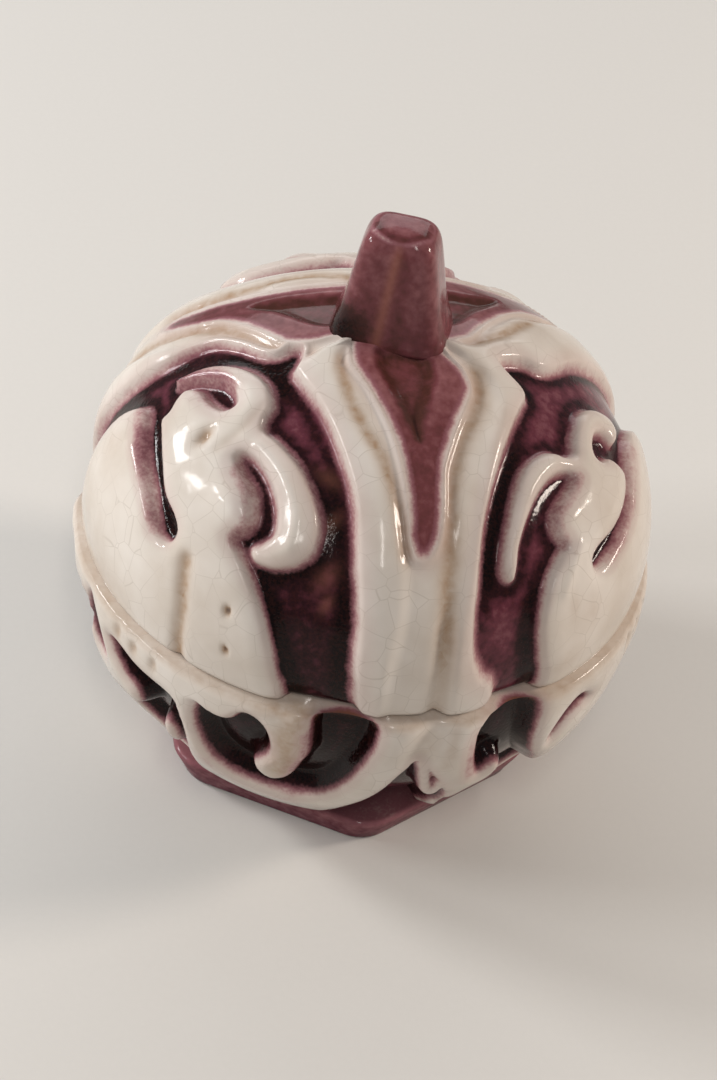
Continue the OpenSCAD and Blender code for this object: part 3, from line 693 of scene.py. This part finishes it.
def box_relief(azimuth, level, reach, relief):
    """Height over the ground, depth into the cream, pooling and stain at an azimuth in degrees and a level"""
    scale = np.array([math.radians(1) * reach, 1])
    cream = np.full(len(azimuth), FAR_IN)
    height, stain = np.zeros((2, len(azimuth)))
    left = [HOOK_RECESS, MIDDLE_RECESS, FINGER_SLIT, [(HOOK_MIRROR - x, y) for x, y in HOOK_RECESS]]
    right = [CLAW_RECESS, LENS_SLIT, SIDE_OVAL, [(CLAW_MIRROR - x, y) for x, y in CLAW_RECESS]]
    cuts = [(turn, PANEL_GAP) for turn in PANELS]
    cuts += [(turn, outline) for turn in LEFT_TURNS for outline in left]
    cuts += [(0, outline) for outline in right]
    for turn, outline in cuts:
        curve = smooth_curve(outline) * scale
        middle = (curve[:, 0].min() + curve[:, 0].max()) / 2 / scale[0]
        chart = np.stack([(turned_away(azimuth, turn + middle) + middle) * scale[0], level], 1)
        near = np.abs(chart[:, 0] - middle * scale[0]) < 0.5 * np.ptp(curve[:, 0]) + CUT_MARGIN
        cream[near] = np.minimum(cream[near], -depth_inside(chart[near], curve))
    charts = [np.stack([turned_away(azimuth, turn) * scale[0], level], 1) for turn in PANELS]
    forms = [(np.array(centre) * scale, *rest) for centre, *rest in BOX_FORMS]
    lines = [(np.array(points) * scale, *rest) for points, *rest in BOX_LINES]
    washes = [(np.array(points) * scale, *rest) for points, *rest in BOX_WASH]
    for chart in charts:
        swell, tan = soft_details(chart, forms, lines)
        height += swell
        stain = np.maximum(stain, tan)
        curl = CURL_HALF_WIDTH - line_distance(chart, smooth_curve(CURL_LINE, closed=False) * scale)
        tip = 1 - np.linalg.norm((chart - FINGER_TIP[0] * scale) / FINGER_TIP[1], axis=1)
        cream = np.maximum(cream, np.maximum(curl, tip))
    stain *= ease(*BOX_FADE, cream)
    edge = BOX_CRISPNESS * cream
    for chart in charts:
        edge = washed_edge(chart, edge, washes)
    stain = np.maximum(stain, SEAM_STAIN * bell(level - SEAM / MM, SEAM_STAIN_WIDTH))
    shoulder = RECESS_SHOULDER_SHARE * rounded(cream, RECESS_SHOULDER_WIDTH)
    rise = RECESS_SHARE * ease(*RECESS_SPAN, cream) + shoulder
    height = np.minimum(height * ease(*BAND_FADE, cream) + relief * rise, relief)
    return height, edge, recess_pool(cream), stain


# Meshes

def draw_arc(bm, start, centre, sweep, steps):
    """Draws an arc in the XZ plane on from a vertex, and returns its last vertex"""
    made = bmesh.ops.spin(bm, geom=[start], cent=centre, axis=(0, 1, 0), angle=sweep, steps=steps,
                          use_merge=False)
    return made["geom_last"][0]


def draw_line(bm, start, x, z):
    """Draws a straight edge in the XZ plane on from a vertex, and returns its last vertex"""
    end = bmesh.ops.extrude_vert_indiv(bm, verts=[start])["verts"][0]
    end.co = (x, 0, z)
    return end


def turn_round(bm, steps):
    """Turns the section in a bmesh round the Z axis: an eighth by spinning, the rest by doubling"""
    eighth = math.pi / 4
    bmesh.ops.spin(bm, geom=bm.verts[:] + bm.edges[:], cent=(0, 0, 0), axis=(0, 0, 1), angle=eighth,
                   steps=steps // 8)
    for turn in (eighth, 2 * eighth, 4 * eighth):
        made = bmesh.ops.duplicate(bm, geom=bm.verts[:] + bm.edges[:] + bm.faces[:])["geom"]
        verts = [part for part in made if isinstance(part, bmesh.types.BMVert)]
        bmesh.ops.rotate(bm, verts=verts, cent=(0, 0, 0), matrix=Matrix.Rotation(turn, 3, "Z"))
    bmesh.ops.remove_doubles(bm, verts=bm.verts, dist=MERGE)
    bmesh.ops.recalc_face_normals(bm, faces=bm.faces)


def finish_piece(bm, name, body, nodes, material):
    """Makes a smooth piece from a bmesh, lets it ride on a body and stand for its nodes"""
    mesh = bpy.data.meshes.new(name)
    bm.to_mesh(mesh)
    bm.free()
    mesh.shade_smooth()
    mesh.materials.append(material)
    piece = bpy.data.objects.new(name, mesh)
    bpy.context.scene.collection.objects.link(piece)
    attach(piece, body)
    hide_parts(*nodes)
    return piece


def read_places(mesh):
    """Vertex places of a mesh, in millimetres"""
    places = np.empty(len(mesh.vertices) * 3)
    mesh.vertices.foreach_get("co", places)
    return places.reshape(-1, 3) / MM


def write_places(mesh, places):
    """Moves the vertices of a mesh to places in millimetres"""
    mesh.vertices.foreach_set("co", (places * MM).ravel())
    mesh.update()


def from_hub(places, hub_x, hub_z):
    """Distance of each place from the hub of its section's arc, and direction away from that hub"""
    radius = np.hypot(places[:, 0], places[:, 1])
    spoke = np.maximum(radius, LEAST_RADIUS)
    reach = np.hypot(radius - hub_x, places[:, 2] - hub_z)
    out = (radius - hub_x) / reach
    rise = (places[:, 2] - hub_z) / reach
    return reach, np.stack([places[:, 0] / spoke * out, places[:, 1] / spoke * out, rise], 1)


def named(kinds, sides):
    """Names of the solids of some kinds on all sides"""
    return [f"{kind}_{side}" for kind in kinds for side in sides]


def paint(mesh, **layers):
    """Stores values for the glaze on the vertices of a mesh"""
    for name, values in layers.items():
        layer = mesh.attributes.new(name, "FLOAT", "POINT")
        layer.data.foreach_set("value", np.ascontiguousarray(values, np.float32))


def paint_shell(mesh, outer, cream, pool, stain):
    """Stores the values of a hollow shell: its relief outside, plain cream inside"""
    paint(mesh, cream_edge=np.where(outer, cream, INSIDE_CREAM), pool=pool,
          stain=np.where(outer, stain, INSIDE_STAIN))


# Materials

def add(tree, kind, inputs, **settings):
    """Adds a node with its settings, and sets or links its inputs"""
    node = tree.nodes.new(kind)
    for name, value in settings.items():
        setattr(node, name, value)
    for socket, value in inputs.items():
        if isinstance(value, bpy.types.NodeSocket):
            tree.links.new(value, node.inputs[socket])
        else:
            node.inputs[socket].default_value = value
    return node


def per_metre(size):
    """Texture scale at which one cell or wave has a size in millimetres"""
    return 1 / (size * MM)


def crackled_glaze(name):
    """Moulded earthenware under cream glaze that thins to pink over purple, crackled and glossy"""
    hues = bpy.context.scene.incense_box.glaze
    material = bpy.data.materials.new(name)
    material.use_nodes = True
    tree = material.node_tree
    tree.nodes.clear()
    place = add(tree, "ShaderNodeTexCoord", {}).outputs["Object"]
    edge, pool, stain = [add(tree, "ShaderNodeAttribute", {}, attribute_name=layer).outputs["Fac"]
                         for layer in ("cream_edge", "pool", "stain")]
    noises = []
    for size, detail in ((DRIFT_SIZE, 3), (FLECK_SIZE, 4), (SPECK_SIZE, 2), (WAVE_SIZE, 2)):
        noise = add(tree, "ShaderNodeTexNoise", {"Vector": place, "Scale": per_metre(size), "Detail": detail})
        noises.append(noise.outputs["Fac"])
    drift, fleck, speck, waves = noises

    # Cream: two tones that drift over a centimetre, tan in the channels, brown in the pinholes
    tone = add(tree, "ShaderNodeMapRange",
               {"Value": drift, "From Min": 0.35, "From Max": 0.65}).outputs["Result"]
    patchy = add(tree, "ShaderNodeMapRange",
                 {"Value": fleck, "From Min": 0.25, "From Max": 0.7, "To Min": 0.55}).outputs["Result"]
    tan = add(tree, "ShaderNodeMath", {0: stain, 1: patchy}, operation="MULTIPLY").outputs[0]
    burnt = add(tree, "ShaderNodeMapRange",
                {"Value": stain, "From Min": 1, "From Max": 1.6}).outputs["Result"]

    # Crackle: a net of fine lines, faint in places, in cells of about three millimetres that differ in tone
    bend = add(tree, "ShaderNodeTexNoise",
               {"Vector": place, "Scale": per_metre(BEND_SIZE), "Detail": 1}).outputs["Color"]
    bent = add(tree, "ShaderNodeVectorMath", {0: bend, 1: (BEND_REACH * MM,) * 3, 2: place},
               operation="MULTIPLY_ADD").outputs[0]
    net = {"Vector": bent, "Scale": per_metre(CELL_SIZE), "Randomness": 0.7}
    cells = add(tree, "ShaderNodeTexVoronoi", net, feature="DISTANCE_TO_EDGE").outputs["Distance"]
    patch = add(tree, "ShaderNodeTexVoronoi", net).outputs["Color"]
    shade = add(tree, "ShaderNodeMapRange", {"Value": patch, "To Max": 0.35}).outputs["Result"]
    line = add(tree, "ShaderNodeMapRange",
               {"Value": cells, "From Max": 0.02, "To Min": 0.4, "To Max": 0}).outputs["Result"]
    faint = add(tree, "ShaderNodeMapRange",
                {"Value": drift, "From Min": 0.4, "From Max": 0.55, "To Min": 0.25}).outputs["Result"]
    crack = add(tree, "ShaderNodeMath", {0: line, 1: faint}, operation="MULTIPLY").outputs[0]
    cream = hues.cream_shade
    for share, hue in ((tone, hues.cream), (tan, hues.stain), (burnt, hues.scorch),
                       (shade, hues.cream_shade), (crack, hues.crackle)):
        coat = add(tree, "ShaderNodeMix", {SHARE: share, FIRST: cream, SECOND: hue}, data_type="RGBA")
        cream = coat.outputs[MIXED]

    # Purple: rose where it is thin, almost black where it has pooled, with rust mottles and ochre runs
    murk = add(tree, "ShaderNodeMath", {0: fleck, 1: 0.7, 2: -0.35}, operation="MULTIPLY_ADD").outputs[0]
    depth = add(tree, "ShaderNodeMath", {0: pool, 1: murk}, operation="ADD").outputs[0]
    ramp = add(tree, "ShaderNodeValToRGB", {"Fac": depth})
    stops = ramp.color_ramp.elements
    stops[0].color = hues.rose
    stops[1].color = hues.black
    stops.new(0.35).color = hues.purple
    stops.new(0.7).color = hues.deep
    mottle = add(tree, "ShaderNodeMapRange",
                 {"Value": speck, "From Min": 0.4, "From Max": 0.8, "To Max": 0.14}).outputs["Result"]
    skin = ramp.outputs["Color"]
    for share, hue in ((mottle, hues.rust), (stain, hues.ochre)):
        coat = add(tree, "ShaderNodeMix", {SHARE: share, FIRST: skin, SECOND: hue}, data_type="RGBA")
        skin = coat.outputs[MIXED]

    # Where cream meets purple: rose, then blush, then cream, along a grainy edge of wandering width
    grain = add(tree, "ShaderNodeMath", {0: drift, 1: 1.4, 2: -0.7}, operation="MULTIPLY_ADD").outputs[0]
    for noise, weight in ((fleck, 0.6), (speck, 0.5)):
        grain = add(tree, "ShaderNodeMath", {0: noise, 1: weight, 2: grain},
                    operation="MULTIPLY_ADD").outputs[0]
    reach = add(tree, "ShaderNodeMath", {0: edge, 1: grain}, operation="ADD").outputs[0]
    for low, high, most, hue in ((-0.65, 0.1, 0.85, hues.rose), (-0.1, 0.55, 0.85, hues.blush),
                                 (0.2, 0.95, 0.75, cream), (0.9, 3.7, 1, cream)):
        share = add(tree, "ShaderNodeMapRange",
                    {"Value": reach, "From Min": low, "From Max": high, "To Max": most},
                    interpolation_type="SMOOTHSTEP").outputs["Result"]
        coat = add(tree, "ShaderNodeMix", {SHARE: share, FIRST: skin, SECOND: hue}, data_type="RGBA")
        skin = coat.outputs[MIXED]

    # Surface: slow waves all over, and a fine froth where the purple is bare and thick
    bump = add(tree, "ShaderNodeBump",
               {"Height": waves, "Strength": 0.5, "Distance": WAVE_HEIGHT * MM}).outputs[0]
    froth = speck
    bare = add(tree, "ShaderNodeMapRange",
               {"Value": reach, "From Min": 0, "From Max": 0.6, "To Min": 1, "To Max": 0}).outputs["Result"]
    for share in (bare, pool):
        froth = add(tree, "ShaderNodeMath", {0: froth, 1: share}, operation="MULTIPLY").outputs[0]
    bump = add(tree, "ShaderNodeBump",
               {"Height": froth, "Strength": 0.6, "Distance": FROTH_HEIGHT * MM, "Normal": bump}).outputs[0]
    shine = add(tree, "ShaderNodeBsdfPrincipled",
                {"Base Color": skin, "Roughness": 0.12, "IOR": 1.5, "Specular IOR Level": 0.16,
                 "Normal": bump})
    add(tree, "ShaderNodeOutputMaterial", {"Surface": shine.outputs[0]})
    return material


def glaze_material():
    """The shared glaze, made once"""
    name = "Crackled_cream_and_manganese_glaze"
    return bpy.data.materials.get(name) or crackled_glaze(name)


def floor_material(shade):
    """Pale seamless paper with a faint fibre, matt"""
    material = bpy.data.materials.new("Pale_backdrop_paper")
    material.use_nodes = True
    tree = material.node_tree
    place = add(tree, "ShaderNodeTexCoord", {}).outputs["Object"]
    fibre = add(tree, "ShaderNodeTexNoise",
                {"Vector": place, "Scale": per_metre(FIBRE_SIZE), "Detail": 3}).outputs["Fac"]
    bump = add(tree, "ShaderNodeBump",
               {"Height": fibre, "Strength": 0.1, "Distance": FIBRE_HEIGHT * MM}).outputs[0]
    darker = [0.97 * part for part in shade]
    tint = add(tree, "ShaderNodeMix", {SHARE: fibre, FIRST: shade, SECOND: darker}, data_type="RGBA")
    sheet = tree.nodes["Principled BSDF"]
    sheet.inputs["Roughness"].default_value = 0.85
    tree.links.new(tint.outputs[MIXED], sheet.inputs["Base Color"])
    tree.links.new(bump, sheet.inputs["Normal"])
    return material


class INCENSE_OT_lid(bpy.types.Operator):
    """Makes the domed lid with its arches, spears and scrolls"""
    bl_idname = "incense.lid"
    bl_label = "Lid"

    def execute(self, context):
        settings = context.scene.incense_box
        size = settings.lid
        centre = LID_EDGE + size.drop
        side_x = size.radius - size.side_radius
        top_r = (side_x ** 2 + size.rise ** 2 - size.side_radius ** 2) / (2 * (size.rise - size.side_radius))
        top_z = centre + size.rise - top_r
        join = math.atan2(side_x, centre - top_z)
        inner = size.side_radius - size.relief - size.wall
        low = math.pi / 2 + math.asin(size.drop / size.side_radius)
        inner_low = math.asin(size.drop / inner)
        bm = bmesh.new()
        point = bm.verts.new((0, 0, centre + size.rise))
        point = draw_arc(bm, point, (0, 0, top_z), CROWN_SHARE * join, CROWN_STEPS)
        point = draw_arc(bm, point, (0, 0, top_z), (1 - CROWN_SHARE) * join, TOP_STEPS)
        point = draw_arc(bm, point, (side_x, 0, centre), low - join, SIDE_STEPS)
        point = draw_line(bm, point, side_x + inner * math.cos(inner_low), LID_EDGE)
        point = draw_arc(bm, point, (side_x, 0, centre), join - math.pi / 2 - inner_low, INSIDE_STEPS)
        draw_arc(bm, point, (0, 0, top_z), -join, INSIDE_STEPS)
        turn_round(bm, settings.turns)
        nodes = ["dome"] + named(("arch", "scroll"), SECTOR_SIDES) + named(("spear",), PANEL_SIDES)
        piece = finish_piece(bm, "lid_shell", "lid", nodes, glaze_material())
        places = read_places(piece.data)
        from_centre = places - (0, 0, centre / MM)
        radius = np.hypot(places[:, 0], places[:, 1])
        level = from_centre[:, 2]
        drop_top = (centre - top_z) / MM
        on_top = radius * drop_top < side_x / MM * (level + drop_top)
        hub_x = np.where(on_top, 0, side_x / MM)
        hub_z = np.where(on_top, -drop_top, 0)
        full = np.where(on_top, top_r, size.side_radius) / MM
        reach, away = from_hub(from_centre, hub_x, hub_z)
        outer = np.abs(reach - full) < ON_ARC
        relief = size.relief / MM
        height, cream, pool, stain = lid_relief(from_centre, relief)
        rounding = LID_ROUNDING[0] * bell(level + size.drop / MM, LID_ROUNDING[1])
        sunk = np.where(outer, relief - height + rounding, 0)
        write_places(piece.data, places - away * sunk[:, None])
        paint_shell(piece.data, outer, cream, pool, stain)
        return {"FINISHED"}


class INCENSE_OT_box(bpy.types.Operator):
    """Makes the round box with its rim, recesses and locating lip"""
    bl_idname = "incense.box"
    bl_label = "Box"

    def execute(self, context):
        settings = context.scene.incense_box
        size = settings.box
        hub_x = RIM_RADIUS - size.side_radius
        hub_z = SEAM - size.drop
        inner = size.side_radius - size.relief - size.wall
        low = math.asin((hub_z - FOOT_TOP) / size.side_radius)
        high = math.asin(size.drop / size.side_radius)
        shelf = SEAM - size.lip_root
        floor = FOOT_TOP + size.floor
        lip_inner = size.lip_radius - size.lip_wall
        bm = bmesh.new()
        point = bm.verts.new((0, 0, FOOT_TOP))
        point = draw_line(bm, point, hub_x + size.side_radius * math.cos(low), FOOT_TOP)
        point = draw_arc(bm, point, (hub_x, 0, hub_z), -low - high, BOX_STEPS)
        across, down = LIP_CHAMFER
        for x, z in ((size.lip_radius, SEAM), (size.lip_radius, LIP_TOP - down),
                     (size.lip_radius - across, LIP_TOP), (lip_inner + across, LIP_TOP),
                     (lip_inner, LIP_TOP - down), (lip_inner, shelf)):
            point = draw_line(bm, point, x, z)
        shelf_low = math.asin((hub_z - shelf) / inner)
        floor_low = math.asin((hub_z - floor) / inner)
        point = draw_line(bm, point, hub_x + inner * math.cos(shelf_low), shelf)
        point = draw_arc(bm, point, (hub_x, 0, hub_z), floor_low - shelf_low, BOX_INSIDE_STEPS)
        draw_line(bm, point, 0, floor)
        turn_round(bm, settings.turns)
        nodes = ["bowl", "rim_band"] + named(("panel",), PANEL_SIDES) + named(("hooks", "swag"), SECTOR_SIDES)
        piece = finish_piece(bm, "box_shell", "box", nodes, glaze_material())
        places = read_places(piece.data)
        azimuth = np.degrees(np.arctan2(places[:, 0], -places[:, 1]))
        level = places[:, 2]
        reach, away = from_hub(places, hub_x / MM, hub_z / MM)
        outer = np.abs(reach - size.side_radius / MM) < ON_ARC
        relief = size.relief / MM
        height, cream, pool, stain = box_relief(azimuth, level, (RIM_RADIUS - size.relief) / MM, relief)
        rounding = BOX_ROUNDING[0] * bell(level - SEAM / MM, BOX_ROUNDING[1])
        sunk = np.where(outer, relief - height + rounding, 0)
        moved = places - away * sunk[:, None]
        moved[:, 2] = np.clip(moved[:, 2], FOOT_TOP / MM, LIP_TOP / MM)
        moved[outer, 2] = np.minimum(moved[outer, 2], SEAM / MM)
        write_places(piece.data, moved)
        paint_shell(piece.data, outer, cream, pool, stain)
        return {"FINISHED"}


class INCENSE_OT_knob(bpy.types.Operator):
    """Makes the tapered square knob with its soft corners"""
    bl_idname = "incense.knob"
    bl_label = "Knob"

    def execute(self, context):
        size = context.scene.incense_box.knob
        crown = KNOB_TOP - size.height
        side = smooth_curve(KNOB_SIDE, closed=False, steps=5) * MM
        bm = bmesh.new()
        point = bm.verts.new((0, 0, crown + side[0][1]))
        for x, z in side:
            point = draw_line(bm, point, x, crown + z)
        draw_line(bm, point, 0, crown + side[-1][1])
        turn_round(bm, KNOB_TURNS)
        piece = finish_piece(bm, "knob_stub", "lid", ["knob"], glaze_material())
        places = read_places(piece.data)
        around = np.arctan2(places[:, 1], places[:, 0])
        order = size.squareness
        square = (np.abs(np.cos(around)) ** order + np.abs(np.sin(around)) ** order) ** (-1 / order)
        radius = np.hypot(places[:, 0], places[:, 1]) * square
        up = np.clip((places[:, 2] - crown / MM) * MM / size.height, 0, 1)
        wide = radius * np.cos(around)
        flatness = size.depth + (size.top_depth - size.depth) * up
        deep = size.set_back / MM + radius * np.sin(around) * flatness
        lean = size.lean / MM * (0.5 + 0.5 * up)
        cos = math.cos(size.turn)
        sin = math.sin(size.turn)
        moved = np.stack([wide * cos - deep * sin - lean, wide * sin + deep * cos, places[:, 2]], 1)
        write_places(piece.data, moved)
        front = np.cos(around + math.pi / 2)
        on_face = front > FACE_COSINE
        at_top = ease(*TOP_SPAN, up)
        base = ease(*BASE_SPAN, up)
        streak_x, shift, streak_width = KNOB_STREAK
        streak = bell(wide - streak_x - shift * up, streak_width) * on_face * ease(*STREAK_SPAN, up)
        runs = sum(amount * bell(wide - place, width) for place, width, amount in KNOB_RUNS)
        (corner_x, corner_y), corner_radius, corner_pool = KNOB_SCORCH
        scorched = bell(np.hypot(wide - corner_x, deep - corner_y), corner_radius) * base
        # The rim is painted paler, partly as glaze worn thin on the edge and partly as a painted highlight
        rim = bell(radius - KNOB_RIM[0], KNOB_RIM[1]) * ease(*RIM_SPAN, up)
        groove = bell(radius - KNOB_GROOVE[0], KNOB_GROOVE[1]) * at_top * (front > 0)
        # The facet on the top is painted paler as a sheen of reflected light
        painted_sheen = ease(*SHEEN_FACET_RADII, radius) * at_top
        pool = KNOB_POOL + BASE_POOL * base + corner_pool * scorched + GROOVE_POOL * groove
        pool += on_face * ease(*RUN_SPAN, up) * runs
        paint(piece.data, cream_edge=KNOB_EDGE + RIM_HIGHLIGHT_EDGE * rim + PAINTED_SHEEN_EDGE * painted_sheen, pool=pool,
              stain=(KNOB_STAIN + STREAK_STAIN * streak) * (1 - scorched))
        return {"FINISHED"}


class INCENSE_OT_foot(bpy.types.Operator):
    """Makes the hexagonal foot"""
    bl_idname = "incense.foot"
    bl_label = "Foot"

    def execute(self, context):
        size = context.scene.incense_box.foot
        lower = []
        upper = []
        for step in range(BEVEL_STEPS + 1):
            turn = math.radians(90 * step / BEVEL_STEPS)
            across = size.bevel * (1 - math.sin(turn))
            down = size.bevel * (1 - math.cos(turn))
            lower.append((size.under_radius - across, down))
            upper.append((FOOT_RADIUS - down, FOOT_TOP - across))
        rings = lower + upper + [(CAP_SHARE * FOOT_RADIUS, FOOT_TOP)]
        last = CAP_SHARE * size.under_radius
        bm = bmesh.new()
        bmesh.ops.create_circle(bm, cap_ends=True, segments=FOOT_SIDES, radius=last)
        bmesh.ops.bevel(bm, geom=bm.verts[:], offset=CAP_SHARE * size.corner, affect="VERTICES",
                        segments=CORNER_STEPS, profile=0.5, material=-1)
        outline = bm.edges[:]
        for radius, height in rings:
            made = bmesh.ops.extrude_edge_only(bm, edges=outline)["geom"]
            outline = [part for part in made if isinstance(part, bmesh.types.BMEdge)]
            for vert in {vert for edge in outline for vert in edge.verts}:
                vert.co = (vert.co.x * radius / last, vert.co.y * radius / last, height)
            last = radius
        bmesh.ops.contextual_create(bm, geom=outline)
        bmesh.ops.recalc_face_normals(bm, faces=bm.faces)
        piece = finish_piece(bm, "foot_plinth", "box", ["foot"], glaze_material())
        level = read_places(piece.data)[:, 2]
        # Painted highlight: the upper edge of the foot is made paler and pinker, as where light catches it
        highlighted = bell(level - FOOT_TOP / MM, FOOT_HIGHLIGHT_WIDTH)
        paint(piece.data, cream_edge=FAR_OUT + HIGHLIGHT_EDGE * highlighted, pool=FOOT_POOL + HIGHLIGHT_POOL * highlighted,
              stain=np.zeros(len(level)))
        return {"FINISHED"}


def direction(azimuth, elevation):
    """Direction towards an azimuth, counted from the front towards +X, and an elevation"""
    level = math.cos(elevation)
    return Vector((math.sin(azimuth) * level, -math.cos(azimuth) * level, math.sin(elevation)))


class INCENSE_OT_stage(bpy.types.Operator):
    """Sets the floor, the lamps and the camera"""
    bl_idname = "incense.stage"
    bl_label = "Stage"

    def lamp(self, name, watts, tint, place, target, wide, high):
        """Hangs one soft lamp that faces a point"""
        light = bpy.data.lights.new(name, "AREA")
        light.energy = watts
        light.color = linear(tint)[:3]
        light.shape = "RECTANGLE"
        light.size = wide
        light.size_y = high
        holder = bpy.data.objects.new(name, light)
        holder.location = place
        holder.rotation_euler = (Vector(target) - Vector(place)).to_track_quat("-Z", "Y").to_euler()
        bpy.context.scene.collection.objects.link(holder)

    def execute(self, context):
        look = context.scene.incense_box.stage
        scene = context.scene
        scene.view_settings.view_transform = "Standard"
        bm = bmesh.new()
        bmesh.ops.create_grid(bm, x_segments=1, y_segments=1, size=FLOOR_REACH)
        mesh = bpy.data.meshes.new("floor")
        bm.to_mesh(mesh)
        bm.free()
        mesh.materials.append(floor_material(look.floor))
        floor = bpy.data.objects.new("floor", mesh)
        scene.collection.objects.link(floor)
        centre = Vector((0, 0, AIM_HEIGHT))
        for name, setting, tint, azimuth, elevation, wide, high in LAMPS:
            away = direction(math.radians(azimuth), math.radians(elevation))
            self.lamp(name, getattr(look, setting), tint, centre + LAMP_DISTANCE * away, centre, wide, high)
        world = bpy.data.worlds.new("soft_room")
        world.use_nodes = True
        sky = world.node_tree.nodes["Background"]
        sky.inputs["Color"].default_value = linear(ROOM_TINT)
        sky.inputs["Strength"].default_value = look.ambient
        scene.world = world
        camera = bpy.data.cameras.new("camera")
        camera.lens = look.lens
        camera.clip_start = CAMERA_START
        holder = bpy.data.objects.new("camera", camera)
        scene.collection.objects.link(holder)
        back = direction(look.azimuth, look.elevation)
        level = Vector((math.cos(look.azimuth), math.sin(look.azimuth), 0))
        upright = back.cross(level)
        right = math.cos(look.roll) * level + math.sin(look.roll) * upright
        above = math.cos(look.roll) * upright - math.sin(look.roll) * level
        aim = centre - right * look.aim_left - above * look.aim_down
        turn = Matrix((right, above, back)).transposed().to_4x4()
        holder.matrix_world = Matrix.Translation(aim + back * look.distance) @ turn
        scene.camera = holder
        return {"FINISHED"}


class INCENSE_PT_panel(bpy.types.Panel):
    """Lists the pieces of the incense box"""
    bl_label = "Incense box"
    bl_idname = "INCENSE_PT_panel"
    bl_space_type = "VIEW_3D"
    bl_region_type = "UI"
    bl_category = "Incense box"

    def draw(self, context):
        settings = context.scene.incense_box
        for operator in PIECES:
            self.layout.operator(operator.bl_idname)
        for group in (settings.lid, settings.box, settings.knob, settings.foot, settings.glaze,
                      settings.stage):
            box = self.layout.box()
            for name in group.__annotations__:
                box.prop(group, name)


PIECES = (INCENSE_OT_lid, INCENSE_OT_knob, INCENSE_OT_box, INCENSE_OT_foot, INCENSE_OT_stage)
CLASSES = (LidSizes, BoxSizes, KnobSizes, FootSizes, GlazeColours, StageLook, IncenseBoxSettings,
           *PIECES, INCENSE_PT_panel)


def register():
    """Registers the classes and the scene's settings"""
    for cls in CLASSES:
        bpy.utils.register_class(cls)
    bpy.types.Scene.incense_box = PointerProperty(type=IncenseBoxSettings)


def unregister():
    """Takes the settings and the classes away again"""
    del bpy.types.Scene.incense_box
    for cls in reversed(CLASSES):
        bpy.utils.unregister_class(cls)


def main():
    """Makes every piece and the stage"""
    register()
    bpy.ops.incense.lid()
    bpy.ops.incense.knob()
    bpy.ops.incense.box()
    bpy.ops.incense.foot()
    bpy.ops.incense.stage()


if __name__ == "__main__":
    main()
